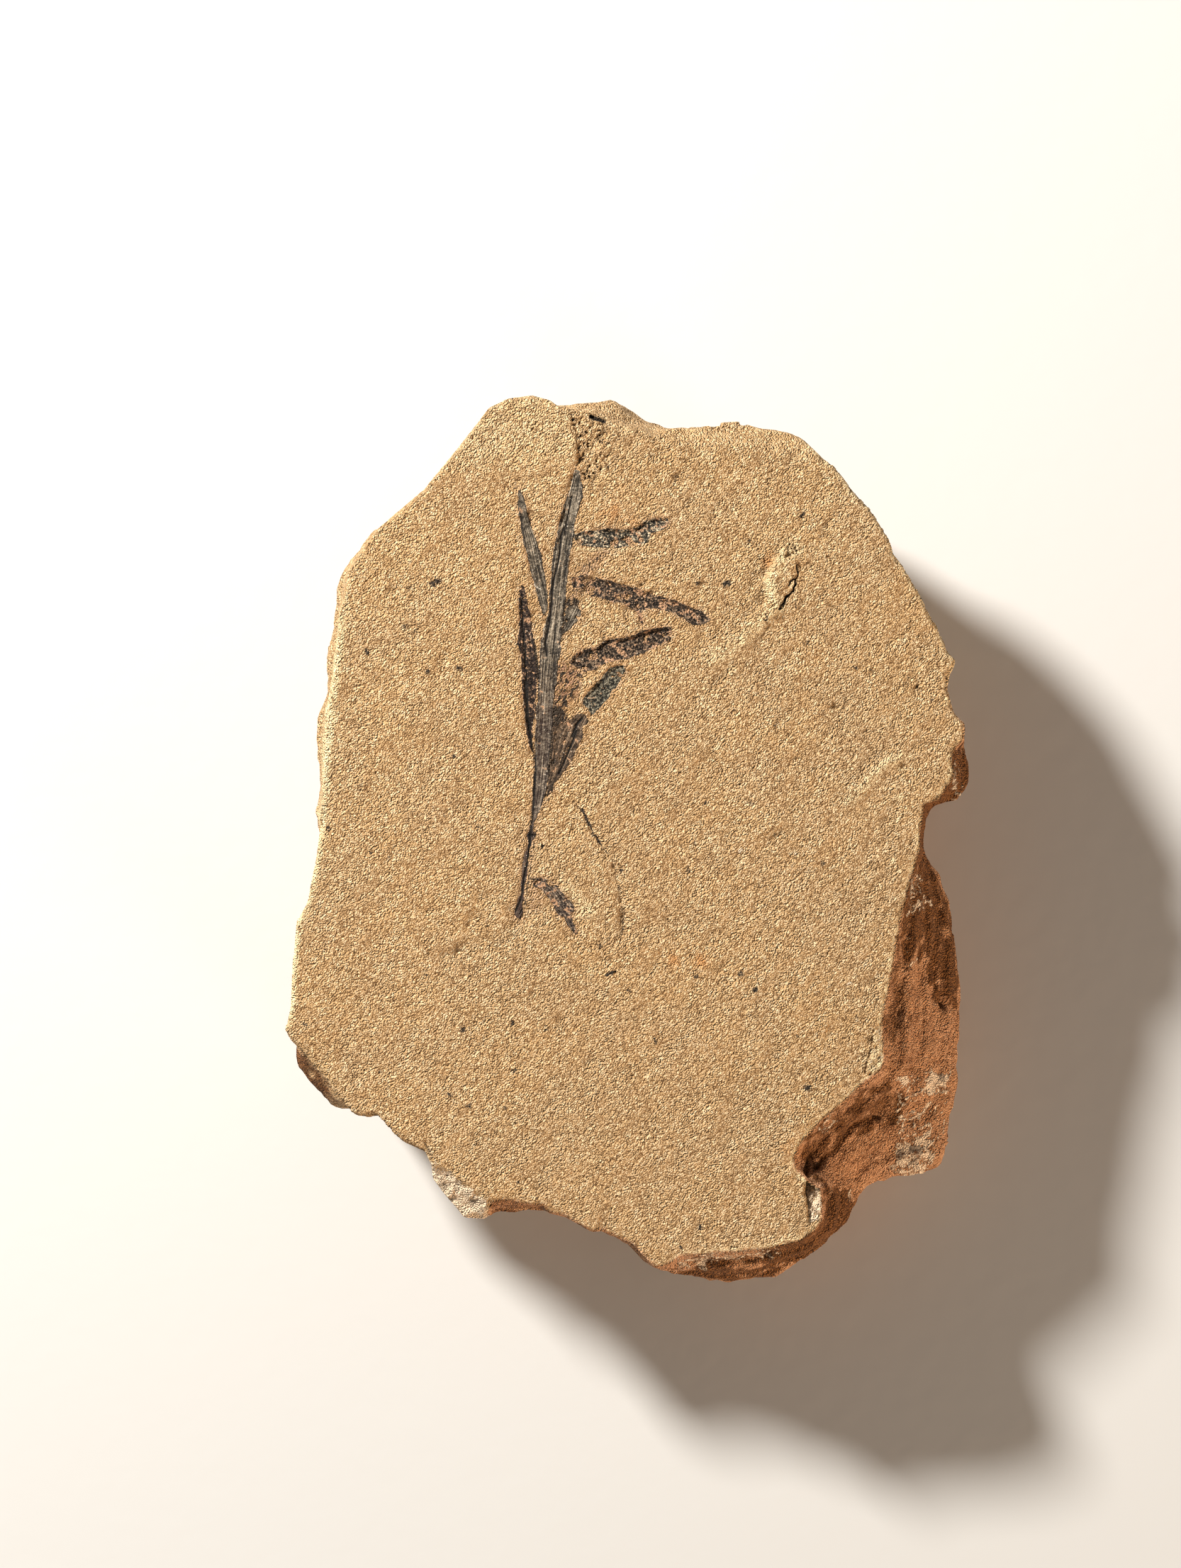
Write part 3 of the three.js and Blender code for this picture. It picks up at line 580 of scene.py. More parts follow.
def planOf(spots):
    return Plan(spots[:, 0], spots[:, 1])


def refine(mesh, wanted):  # halves the edges between wanted corners
    mesh.verts.ensure_lookup_table()
    mesh.verts.index_update()
    edges = [edge for edge in mesh.edges
             if wanted[edge.verts[0].index] and wanted[edge.verts[1].index]]
    bmesh.ops.subdivide_edges(mesh, edges=edges, cuts=1, use_grid_fill=True)


def upFace(mesh, rim, margin):
    spots = places(mesh)
    near = planOf(spots).depth(rim) > -margin
    return near & (spots[:, 2] > plate["flankTop"]) & (directions(mesh)[:, 2] > -0.2)


def openSide(mesh):
    x, y, z = places(mesh).T
    return ((x > 12) | (y < -27)) & (z > 8) & (directions(mesh)[:, 2] > 0.1)


def fineZones(face):
    wanted = [face.depth(outline) > -0.55 for outline in filmOutlines.values()]
    wanted += [face.gap(x, y) < radius for x, y, radius in tornSpots + paleChips]
    for zone, margin in [(blister, 0.7), (pittedZone, 0.2), (cornerFlake, 0.4), (chipSlab, 0.4),
                         (crust, 0.3), (pinkStain, 0.2)]:
        wanted.append(face.depth(zone) > -margin)
    for line, margin in [(bareStrip, 0.9), (blisterRidge, 0.5), (faintLine, 0.3)]:
        wanted.append(face.line(line, margin) > 0)
    return np.any(wanted, axis=0)


def crackZones(face):
    wanted = [face.line(line, halfWidth + 0.22) > 0 for halfWidth, _, _, line in cracks]
    wanted += [face.gap(x, y) < radius + 0.22 for x, y, radius, *_ in specks + blisterPits]
    wanted += [face.line(faintLineDark, 0.3) > 0, face.depth(pittedZone) > 0]
    return np.any(wanted, axis=0)


def finerGrid(block, rim):
    grid = evenGrid(block)
    flank = [vert for vert, normal, height in zip(grid.verts, directions(grid), places(grid)[:, 2])
             if normal[2] < 0.55 and 1 < height < 16.8]
    for _ in range(6):
        bmesh.ops.smooth_vert(grid, verts=flank, factor=0.5, use_axis_x=True,
                              use_axis_y=True, use_axis_z=True)
    refine(grid, upFace(grid, rim, 0.7) | openSide(grid))
    refine(grid, upFace(grid, rim, 0.3) & fineZones(planOf(places(grid))))
    refine(grid, upFace(grid, rim, 0.1) & crackZones(planOf(places(grid))))
    return grid


def highPart(spots):  # distance past the step, share of the high part, and how far it is moved
    x, y, z = spots.T
    stepX, stepY = zip(*reversed(stepLine))
    beyond = x - np.interp(y, stepY, stepX)
    frameRise = np.clip(0.165 * (y - 28) - 0.0433 * (x + 8) + 0.03, 0.05, 2)
    besideStep = (z > 17.9) & (np.abs(beyond) < 0.5)  # follows the step's own height
    share = np.where(besideStep, np.clip((z - faceHeight) / frameRise, 0, 1), beyond < 0)
    high = fade(27.5, 30.5, y) * share
    rise = plate["stepSlope"] * np.clip(x + 11.5, 0, 9) - plate["topFall"] * np.clip(y - 28, 0, 7)
    return beyond, high, high * (rise - frameRise)


def beddingRelief(face, calm):  # waves, sand, drag marks and thin layers of the whole face
    x, y, flat = face.x, face.y, face.flat
    relief = plate["undulation"] * cloudAt(flat, 12, 2, 3.1)
    relief += plate["lumps"] * cloudAt(flat, 3.4, 2, 7.7)
    relief += plate["ripples"] * cloudAt(flat, 1.25, 2, 1.3) * calm
    relief += plate["sandiness"] * cloudAt(flat, 0.55, 2, 5.9) * calm
    lean = math.radians(plate["dragAngle"])
    along = x * math.cos(lean) + y * math.sin(lean)
    across = -x * math.sin(lean) + y * math.cos(lean)
    drag = cloudAt(np.column_stack([along / 5.5, across, flat[:, 2]]), 0.85, 3, 9.2)
    streaky = 0.35 + 0.65 * fade(-4, 8, x + 0.3 * y)
    relief += plate["streaks"] * (1 - np.abs(drag)) * streaky * calm
    for size, shift in [(5.5, 2.7), (2.4, 6.3), (1.3, 8.1)]:
        layer = cloudAt(flat, size, 3, shift)
        relief += plate["scarps"] * fade(0.02, 0.02 + 0.25 / size, layer) * calm
    return relief


def ridgeRelief(face):  # the raised blister with its pits, ridges and soft lines
    leaning = 0.34 - 0.3 * fade(10.7, 12.7, face.x)
    relief = leaning * face.area(blister, -0.2, 0.45) * fade(0.06, -0.06, face.depth(blisterLee))
    for height, line, reach in ridges:
        relief += height * face.line(line, reach)
    relief += 0.22 * cloudAt(face.flat, 0.5, 2, 7.2) * fade(1.3, 0.4, face.gap(12.4, 22.4))
    for pit in blisterPits:
        relief -= 0.25 * face.spot(*pit)
    return relief


def tornRelief(face, beyond, calm):  # the step's lee, chipped corners, crust and hollows
    flat, y = face.flat, face.y
    relief = -plate["stepDepth"] * fade(28.6, 32.2, y) * fade(0, 0.16, beyond)
    relief *= fade(2.2, 0.3, beyond)
    torn = face.area(pittedZone, -0.5, 0.6, 0.6 * cloudAt(flat, 1.2, 2, 4.1))
    holes = fade(0.22, 0.38, cloudAt(flat, 0.27, 2, 2.2) - 0.05 * np.clip(beyond, 0, 4))
    holes *= torn * (beyond > 0.05)
    relief += 0.06 * torn * cloudAt(flat, 0.7, 3, 6.4) - 0.15 * holes
    pits = cloudAt(flat, 0.55, 3, 2.2)
    relief += 0.16 * face.area(cornerFlake, -0.1, 0.25) * (0.6 + pits)
    chipDepth = 0.72 * fade(-29.4, -25.6, y) + 0.12 + 0.15 * pits
    relief -= chipDepth * face.area(chipSlab, -0.05, 0.07)
    relief += 0.3 * cloudAt(flat, 0.9, 3, 4.4) * face.area(crust, -0.3, 0.5)
    dents = fade(0.22, 0.55, cloudAt(flat, 2.4, 3, 15.2)) * calm
    dents = highest(dents, 1.3 * face.spots(tornSpots))
    return relief - plate["dents"] * dents * (0.7 + 1.6 * pits), holes


def crackDistance(face, halfWidth, line):  # the wider a crack, the less uneven
    picked, part = face.around(line, 1)
    return picked, part.jagged(line, min(0.13, 0.01 / halfWidth))


def crackRelief(face):
    relief = np.zeros(len(face.x))
    for halfWidth, depth, _, line in cracks:
        picked, near = crackDistance(face, halfWidth, line)
        wander = 0.7 * halfWidth * cloudAt(face.flat[picked], 0.35, 2, 2.8)
        relief[picked] -= depth * fade(halfWidth, halfWidth * 0.3, near + wander)
    for speck in specks:
        relief -= 0.05 * face.spot(*speck)
    return relief


def faceRelief(face, beyond):
    fossil = highest(*[face.area(outline, -0.12, 0.12) for outline in filmOutlines.values()])
    sunken = highest(*[films[name][1] * face.area(outline, -0.05, 0.13)
                       for name, outline in filmOutlines.items()])
    calm = 1 - 0.75 * fossil
    torn, holes = tornRelief(face, beyond, calm)
    relief = beddingRelief(face, calm) + ridgeRelief(face) + torn + crackRelief(face) - sunken
    return relief, fossil, holes


def seenAt(spots):  # where the camera sees a place, at the height of the face
    eye = np.array(studio["camera"])
    nearer = (eye[2] - faceHeight) / (eye[2] - spots[:, 2])
    return planOf(eye + (spots - eye) * nearer[:, None])


def sideMarks(spots, seen):  # chalk and dark breaks on the side that shows
    ragged = 0.5 * cloudAt(spots, 0.9, 3, 13)
    squiggles = fade(0.13, 0.03, np.abs(cloudAt(spots, 1.1, 2, 19)))
    chalk = [0.85 * squiggles * seen.area(crumbled, -0.3, 0.5)]
    chalk += [solid * seen.area(zone, -0.25, 0.35, ragged) for solid, zone in chalkPatches]
    chalk += [0.65 * seen.line(line, 0.32) for line in chalkLines]
    split, darkness = np.zeros((2, len(spots)))
    for halfWidth, depth, dark, line in sideCracks:
        picked, part = seen.around(line, 1)
        near = fade(halfWidth * (1.2 + ragged[picked]), 0, part.distance(line))
        split[picked] = np.maximum(split[picked], depth * near)
        darkness[picked] = np.maximum(darkness[picked], dark * near)
    return highest(*chalk), split, darkness


def bellyShare(spots):  # 1 where the lower left side swells out most
    start, end = np.array(bellyLine)
    run = end - start
    length = np.hypot(*run)
    offset = spots[:, :2] - start
    along = offset @ run / length
    across = np.abs(offset @ np.array([run[1], -run[0]])) / length
    ends = fade(0, 3, along) * fade(length + 1, length - 2, along)
    return ends * fade(4, 2.5, across) * fade(17.6, 13.5, spots[:, 2])


def sideRelief(spots, seen, chalk, split):
    smooth = fade(3, -1, seen.depth(roughBrown, 5))
    relief = -plate["fractureLarge"] * scoopsAt(spots, 6.5, 1.7, 1.5)
    relief -= plate["fractureSmall"] * scoopsAt(spots, 2.3, 5.3, 1.6) * (0.5 + 0.5 * smooth)
    relief -= plate["fractureFine"] * (0.5 + cloudAt(spots, 0.8, 3, 2.9))
    bed = spots[:, 2] + 0.5 * cloudAt(spots, 7, 2, 6.1)
    step = (bed / 2.3) % 1
    relief -= plate["ledges"] * fade(0, 0.12, step) * fade(1, 0.3, step)
    relief += plate["sideFill"] * fade(0, 3, spots[:, 2])
    relief += plate["belly"] * bellyShare(spots) * fade(0, 5, spots[:, 2])
    return relief - split + 0.36 * chalk * cloudAt(spots, 0.6, 2, 8.8)


def backRelief(spots):
    terraces = 3 * (2.6 * cloudAt(spots, 9, 3, 8.3) + 0.15)
    steps = np.floor(terraces) + fade(0, 0.25, terraces % 1)
    rough = 0.1 * (cloudAt(spots, 0.9, 3, 1.9) + 0.1)
    return plate["backRelief"] * np.clip(steps / 3 * 0.45 + rough, 0, 1.6)


# Colours of the stone, painted on its corners: 0 none, 1 full
# worn also holds painted highlight on lit rims, slopes and ridges
shareNames = ("brown", "dark", "chalk", "worn", "rust", "flush", "sootAndShade", "away")


def sideColours(stone):
    face, seen, mottle, fineMottle = stone.face, stone.seen, stone.mottle, stone.fineMottle
    x, y, z = stone.moved.T
    # brown on the lower right sides and the lower left swelling: partly iron stain, partly painted shade
    # with warm bounce light where these sides lay away from the light
    brown = fade(-2, 3.5, 0.75 * x - 0.66 * y - 10 + 4.5 * mottle + 1.2 * fineMottle)
    belly = bellyShare(stone.spots) * (1 + 1.2 * mottle + 0.6 * fineMottle)
    brown = highest(brown * stone.away, fade(-0.25, 0.35, mottle + 0.3) * stone.down * 0.8,
                    fade(0, 0.6, belly) * stone.away)

    frayed = 0.9 * fineMottle + 0.4 * mottle
    dark = highest(*[strength * seen.area(zone, -0.35, 0.35, frayed)
                     for strength, zone in darkZones]) * (0.9 + 0.5 * fineMottle)
    aboveFoot = fade(2, 8, z + 3 * mottle)  # the zones end where the side turns under
    turning = stone.normals[:, 2] + 0.25 * mottle + 0.2 * fineMottle
    upper = aboveFoot * fade(-0.15, 0.2, turning)
    dark = dark * upper + 0.5 * fade(0, 0.5, mottle + 0.5 * fineMottle) * (1 - upper)
    # painted shade on the side under the spur and on the lower left swelling
    spurSide = seen.area(underSpur, -0.35, 0.35, 0.9 * fineMottle) * fade(10, 14, z + 2 * mottle)
    dark = highest(dark, 0.9 * spurSide, 1.1 * fade(0.1, 0.6, belly) * aboveFoot,
                   stone.darkness) * stone.shallow

    chalk = highest(stone.chalk, 0.48 * seen.line(bottomBand, 0.9)) * stone.shallow
    crusted = face.area(crust, -0.3, 0.5, 0.4 * fineMottle)
    crusted *= fade(11.5, 14, z + 2.5 * mottle + fineMottle)
    chalk = highest(chalk, crusted, 0.8 * face.area(chipSlab, -0.05, 0.3),
                    0.3 * face.area(cornerFlake, 0, 0.3),
                    *[1 * (face.gap(x, y) < radius) for x, y, radius in whiteSpecks])
    return brown, dark, chalk


def paleRimAndHighlightShare(stone):  # pale chipped edges and chips, with painted highlight on the lit rims, the raised high part, the blister's lit slope and the lit ridges
    face, x, y = stone.face, stone.face.x, stone.face.y
    height, rimGap, fineMottle = stone.spots[:, 2], stone.rimGap, stone.fineMottle
    rightRim = fade(0.4, 0.1, rimGap) * (0.85 + 0.7 * fineMottle) * fade(0, 12, x)
    rightRim *= fade(16.5, 17.4, height) * np.where(stone.away > 0.9, 0.6, 1)
    leftRim = fade(-16, -20, x) * fade(-15, -13, y) * fade(20, 14, y) * (height > 16.6)
    leftRim *= fade(0.55, 0.15, rimGap) * (0.9 + 0.7 * fineMottle)
    slope = face.area(blister, -0.3, 0.1) * fade(1.3, 0.3, face.depth(blister)) * (x < 12)
    # the rims, the raised part, the blister's slope and the ridges are painted highlight; the chips are
    # pale stone
    return highest(
        rightRim, leftRim, 0.14 * stone.raised, 0.62 * slope, 0.8 * face.spots(paleChips),
        0.45 * face.area(cornerFlake, 0, 0.3), face.spot(12.5, 22.5, 1.3, 0.5),
        face.spot(-3.2, -5, 1.1, 0.75), *[share * face.line(line, reach)
                                            for share, line, reach in litRidges])


def flushShare(stone):  # reddish stain, faint round each film
    face = stone.face
    rings = [0.4 * face.area(outline, -0.55, -0.05) for outline in filmOutlines.values()]
    return highest(*rings, 0.8 * stone.fossil, 0.9 * face.area(pinkStain, -0.3, 0.3),
                   0.6 * face.line(bareStrip, 1.1), 0.5 * face.area(leafFlush, -0.2, 0.4),
                   0.9 * face.line(filmGap, 0.7))


def sootAndShadeShare(stone):  # carbon dust in and round the films and specks, and painted shade in cracks, pits, hollows, beside the step and in the side cracks
    face, moved, fineMottle = stone.face, stone.moved, stone.fineMottle
    thread = face.jagged(faintLineDark) / (0.16 - 0.06 * fade(1.5, 0, face.y))
    broken = fade(-0.5, 0.1, fineMottle)
    strands = 0.62 + 0.5 * cloudAt(moved, 0.5, 2, 23, (0.35, 1.6, 1))
    crumbs = fade(0.02, 0.22, cloudAt(moved, 0.45, 2, 27))
    veins = fade(0.12, 0, np.abs(cloudAt(moved, 0.9, 2, 17, (0.7, 1.6, 1))))
    torn = face.area(pittedZone, -0.3, 0.7) * fade(-0.05, 0.1, stone.beyond)
    sootAndShade = highest(
        fade(1, 0.3, thread) * (0.55 + 0.35 * broken), 0.45 * broken * face.line(faintLine, 0.26),
        0.6 * veins * face.line(bareStrip, 1.2), 0.45 * crumbs * face.area(crumbZone, -0.3, 0.3),
        strands * highest(face.area(stubJoin, -0.25, 0.15), face.area(fanFill, -0.25, 0.15)),
        # holes, torn, tornSpots and blisterPits here are painted shade in pits, hollows and beside the
        # step
        (0.28 + 0.85 * veins) * face.area(pinkStain, -0.3, 0.3), 0.62 * stone.holes,
        0.3 * torn * fade(3.4, 0.2, stone.beyond),
        0.2 * face.spots(tornSpots), face.spots(sootAndShadeSpots),
        *[0.8 * face.spot(x, y, radius * 1.2) for x, y, radius in blisterPits],
        *[0.7 * face.line(line, halfWidth + 0.05) for halfWidth, line in filmLines],
        *[share * face.line(line, reach) for share, line, reach in sootAndShadeLines])
    # painted shade along each crack
    for halfWidth, _, darkMark, line in cracks:
        picked, near = crackDistance(face, halfWidth, line)
        mark = darkMark * fade(halfWidth * 1.6, halfWidth * 0.6, near)
        sootAndShade[picked] = np.maximum(sootAndShade[picked], mark)
    for centreX, centreY, radius, darkMark in specks:
        gap = face.gap(centreX, centreY)
        picked = gap < radius * 3
        frayed = gap[picked] + 0.7 * radius * cloudAt(moved[picked], 0.25, 2, centreX)
        mark = (0.24 + 0.56 * darkMark) * fade(radius * 1.6, radius * 0.4, frayed)
        sootAndShade[picked] = np.maximum(sootAndShade[picked], mark)
    return highest(sootAndShade * stone.onFace, 0.2 * stone.darkness * stone.shallow)


def shares(stone):
    painted = [*sideColours(stone), paleRimAndHighlightShare(stone), stone.face.spots(rustSpots),
               flushShare(stone), sootAndShadeShare(stone), stone.away]
    return dict(zip(shareNames, np.clip(painted, 0, 1)))


def measure(grid, block, rim):  # where each corner lies on the block
    spots = places(grid)
    rimGap = planOf(spots).distance(rim + rim[:1])
    nearStep = planOf(spots).line(stepLine, 1) > 0
    # back onto the frame's own surface, so that the rim and the step stay crisp
    crisp = (rimGap < 0.8) | nearStep | (directions(grid)[:, 2] > 0.6)
    blockSurface = BVHTree.FromBMesh(block)
    for number in np.nonzero(crisp & (spots[:, 2] > plate["flankTop"]))[0]:
        spots[number] = blockSurface.find_nearest(Vector(spots[number]) * mm)[0] / mm
    moveTo(grid, spots)

    normals = directions(grid)
    height, up = spots[:, 2], normals[:, 2]
    rimDepth = planOf(spots).depth(rim)
    raised = height > plate["flankTop"]
    facing = fade(-0.1, 0.35, up) * raised
    onFace = fade(-0.1, 0.1, rimDepth) * facing
    down = fade(-0.55, -0.9, up) * fade(1.5, 0.6, height)
    side = (1 - onFace) * (1 - down) * fade(0, 1.2, height)
    side *= np.where(raised, fade(0, 0.9, rimGap), 1)
    away = 1 - fade(0, 0.12, rimDepth) * facing
    away[nearStep & (rimDepth > 0.4) & raised] = 0
    return SimpleNamespace(spots=spots, normals=normals, rimGap=rimGap, onFace=onFace, down=down,
                           side=side, away=away, shallow=(height > 1) & (away > 0.3))


def reshape(stone):  # gives the split face, the broken sides and the back their relief
    spots, height, seen = stone.spots, stone.spots[:, 2], seenAt(stone.spots)
    stone.beyond, stone.raised, lean = highPart(spots)
    relief, stone.fossil, stone.holes = faceRelief(planOf(spots), stone.beyond)
    relief -= 0.3 * fade(0.55, 0, stone.rimGap) * fade(-0.1, 0.6, cloudAt(spots, 1.3, 3, 0.4))
    moved = spots.copy()
    moved[:, 2] += relief * stone.onFace + lean * fade(12, 17.5, height)
    stone.chalk, split, stone.darkness = sideMarks(spots, seen)
    broken = sideRelief(spots, seen, stone.chalk, split) * stone.side
    moved += stone.normals * broken[:, None]
    moved[:, 2] += backRelief(spots) * stone.down
    x, y, z = moved.T
    drawn = fade(20.8, 22.9, x) * fade(3.02, 3.35, y) * fade(7.4, 4.6, y) * fade(5, 10, z)
    moved[:, 0] += plate["spurShift"] * drawn
    low, high = [np.array(corner) / mm for corner in cadBox]
    margin = plate["boxMargin"]
    moved = np.clip(moved, low + (margin, margin, 0), high - margin)
    stone.moved, stone.face, stone.seen = moved, planOf(moved), seenAt(moved)
    stone.mottle, stone.fineMottle = cloudAt(moved, 4, 3, 11), cloudAt(moved, 1, 3, 13)


def buildPlate():
    block = mergedCopy("stone")
    rim = rimOf(block)
    grid = finerGrid(block, rim)
    stone = measure(grid, block, rim)
    block.free()
    reshape(stone)
    moveTo(grid, stone.moved)
    bmesh.ops.triangulate(grid, faces=[face for face in grid.faces if len(face.verts) > 4])
    surface = BVHTree.FromBMesh(grid)
    mesh = smoothMesh("siltstonePlate", grid)
    paint(mesh, shares(stone))
    print("plate:", sum(len(face.vertices) - 2 for face in mesh.polygons), "triangles")
    return mesh, surface


def stoneGrain(start, place):  # the patterns that the stone's colours and relief are made of
    turned = start.make("ShaderNodeVectorRotate", {"rotation_type": "Z_AXIS"}, {
        "Vector": place, "Angle": -math.radians(45)})
    dragged = turned.stretched(0.45, 1, 1).cloud(0.23, 1, 0.5)  # grains drawn out up to the right
    flecks, dust = place.cells(0.17, "Color"), place.cells(0.11, "Color")
    return SimpleNamespace(
        dragged=dragged, finest=turned.stretched(0.6, 1, 1).cloud(0.14, 1, 0.5),
        speckle=dragged * 0.25 + flecks * 0.42 + dust * 0.33, pebbles=place.cells(0.135),
        sand=place.cloud(0.2, 2, 0.7), grit=place.cloud(0.5, 2, 0.5),
        patches=place.cloud(5, 3, 0.5), blotches=place.cloud(1.3, 3, 0.6),
        bedding=place.stretched(0.12, 0.12, 1).cloud(0.7, 3, 0.6),
        scraped=place.stretched(0.15, 1, 0.15).cloud(0.5, 3, 0.6))


def freshColour(grain, worn, away):
    tan = grain.patches.fade(0.35, 0.65).between((0.57, 0.352, 0.163), (0.535, 0.34, 0.167))
    # the light and dark speckle partly follows the dragged grains of the relief: partly painted highlight
    # on grain tops and painted shade between them
    tan = tan.layered(((0.62, 0.395, 0.19), grain.blotches, 0.48, 0.75, 0.6),
                      ((0.82, 0.6, 0.36), grain.speckle, 0.53, 0.7, 0.9),
                      ((0.25, 0.135, 0.055), grain.speckle, 0.47, 0.3, 0.88))
    # pale where worn, and painted highlight on lit rims, slopes and ridges
    tan = tan.turnedInto((0.93, 0.73, 0.42), worn * grain.speckle.fade(0.3, 0.5))
    return tan.turnedInto((0.4, 0.235, 0.115), grain.bedding.fade(0.56, 0.7) * away * 0.55)


# colour of the brown sides, partly iron stain and partly painted shade; the dark zones turn it to the
# shaded colour
def weatheredAndShadedColour(grain, dark):
    brown = grain.blotches.fade(0.45, 0.7).between((0.56, 0.28, 0.135), (0.42, 0.198, 0.092))
    # as on the fresh face, the speckle is partly painted highlight and shade on the grains
    brown = brown.layered(((0.68, 0.36, 0.2), grain.patches, 0.5, 0.7, 0.6),
                          ((0.8, 0.5, 0.31), grain.speckle, 0.54, 0.7, 0.5),
                          ((0.14, 0.047, 0.015), grain.speckle, 0.44, 0.28, 0.85),
                          ((0.38, 0.17, 0.078), grain.scraped, 0.54, 0.68, 0.4),
                          ((0.34, 0.15, 0.066), grain.bedding, 0.55, 0.68, 0.35))
    granular = (dark * 1.1 + (grain.sand - 0.5) * 1.2).fade(0.15, 0.75) * dark.fade(0, 0.3)
    shaded = grain.speckle.fade(0.38, 0.6).between((0.085, 0.03, 0.007), (0.225, 0.088, 0.024))
    return brown.turnedInto(shaded, granular * 0.95)


def siltstone():
    material, start, metres = newMaterial("Fine tan siltstone")
    grain = stoneGrain(start, metres.stretched(1000, 1000, 1000))
    brown, dark, chalk, worn, rust, flush, sootAndShade, away = [
        start.attribute(name) for name in shareNames]
    colour = freshColour(grain, worn, away).turnedInto(weatheredAndShadedColour(grain, dark), brown)
    sand, speckle, blotches = grain.sand - 0.5, grain.speckle, grain.blotches
    flaky = (chalk + (grain.grit - 0.5) * 1.4 + sand * 1.5).fade(0.42, 0.66)
    flaky = flaky * chalk.fade(0.02, 0.3)
    chalky = brown.between((0.8, 0.6, 0.405), (0.92, 0.72, 0.52))
    colour = colour.turnedInto(chalky, flaky)
    colour = colour.turnedInto((0.55, 0.245, 0.08), rust * blotches.fade(0.35, 0.6))
    colour = colour.turnedInto((0.37, 0.195, 0.115), flush * speckle.fade(0.38, 0.56))
    sootAndShadeMask = (sootAndShade * 1.1 + sand * 1.4 * sootAndShade.fade(0, 0.2)).fade(0.27, 0.74)
    # near-black carbon dust, and painted shade in cracks, pits and hollows
    colour = colour.turnedInto((0.048, 0.034, 0.023), sootAndShadeMask)

    coarse = blotches * away * 0.2 + flaky * 0.22 + grain.scraped * away * 0.12
    height = grain.dragged * 0.19 + grain.finest * 0.12 - grain.pebbles * 0.23 + coarse
    finishMaterial(start, colour, 0.94 - sootAndShadeMask * 0.15, height.bump(1.15), 0.2)
    return material


plateMesh, plateSurface = buildPlate()
plateMesh.materials.append(siltstone())
plateObject = addObject("siltstone_plate", plateMesh)
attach(plateObject, "root")
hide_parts("stone")
print("plate finished")


# Each film is a thin flake that follows the stone
flake = {
    "cell": 0.1,  # grid of a flake
    "grown": 0.07,  # past the frame's outline, so that neighbours meet
    "slimmed": 0.13,  # off each side of the thin end of the stem, half of it off two blades
    "ragged": 0.1,
    "lift": 0.035,  # upper side above the stone
    "thickness": 0.07,
}
paleHairs = [points(-7.2, 20, -7.08, 19.72, -6.85, 19.55), points(-6.85, 19.55, -6.62, 19.42)]
lostCarbon = [  # film, centre and radius of a place where the carbon has broken away
    ("needle_right_2", -3.15, 19.95, 0.42), ("needle_right_2", -3, 19.3, 0.4),
    ("needle_right_2", -2.8, 20.36, 0.3), ("needle_right_1", -1.05, 22.95, 0.26),
    ("needle_right_1", 0.25, 23.05, 0.34), ("needle_right_1", 1, 23.2, 0.26),
    ("needle_right_1", -3.7, 23.1, 0.3), ("needle_right_3", -2.6, 14.3, 0.3),
    ("leaf_low", -6, -2.95, 0.22),
]


def axisPlaces(outline, spots):  # place along the film, and across it as a share of its width
    corners = np.array(outline)
    centre = corners.mean(axis=0)
    along, across = np.linalg.svd(corners - centre)[2]
    if along[1] + 0.3 * along[0] < 0:
        along, across = -along, -across
    closed = np.vstack([corners, corners[:1]]) - centre
    parts = np.linspace(0, 1, 13)[:-1]
    edge = np.vstack([closed[:-1] + (closed[1:] - closed[:-1]) * part for part in parts])
    edgeAlong, edgeAcross = edge @ along, edge @ across
    spotAlong, spotAcross = (spots[:, :2] - centre) @ along, (spots[:, :2] - centre) @ across
    stops = np.linspace(edgeAlong.min(), edgeAlong.max(), 60)
    close = [edgeAcross[np.abs(edgeAlong - stop) < 0.6] for stop in stops]
    middle = [(row.min() + row.max()) / 2 for row in close]
    width = [max(row.max() - row.min(), 0.3) for row in close]

    def evened(row):  # evens out the jumps between neighbouring stops
        evenRow = np.convolve(np.pad(row, 3, "edge"), np.ones(7) / 7, "valid")
        return np.interp(spotAlong, stops, evenRow)

    return spotAlong, (spotAcross - evened(middle)) / evened(width)


def flakeDepth(name, spots):  # inside the ragged outline of a flake, negative outside
    face = planOf(spots)
    worn = flake["ragged"] * cloudAt(face.flat, 0.5, 2, 3.3)
    if name == "stem":
        worn -= flake["slimmed"] * fade(4, 1, face.y)
    if name in ("needle_right_4", "needle_left_upper"):
        worn -= flake["slimmed"] / 2 * fade(24.3, 22.5, face.y)
    return face.inside(filmOutlines[name]) + flake["grown"] + worn


def dropLost(mesh, name, bare):  # leaves only the cells that still hold carbon
    spots = np.array([face.calc_center_median()[:] for face in mesh.faces]) / mm
    depth = flakeDepth(name, spots)
    loose = cloudAt(spots, 0.5, 3, len(name) * 1.7)
    lost = (depth < 0) | (loose > np.quantile(loose[depth > 0], 1 - bare))
    for film, centreX, centreY, radius in lostCarbon:
        if film == name:
            lost |= planOf(spots).gap(centreX, centreY) < radius + 0.25 * loose
    bmesh.ops.delete(mesh, geom=[face for face, gone in zip(mesh.faces, lost) if gone],
                     context="FACES")
    bmesh.ops.delete(mesh, geom=[vert for vert in mesh.verts if not vert.link_faces],
                     context="VERTS")


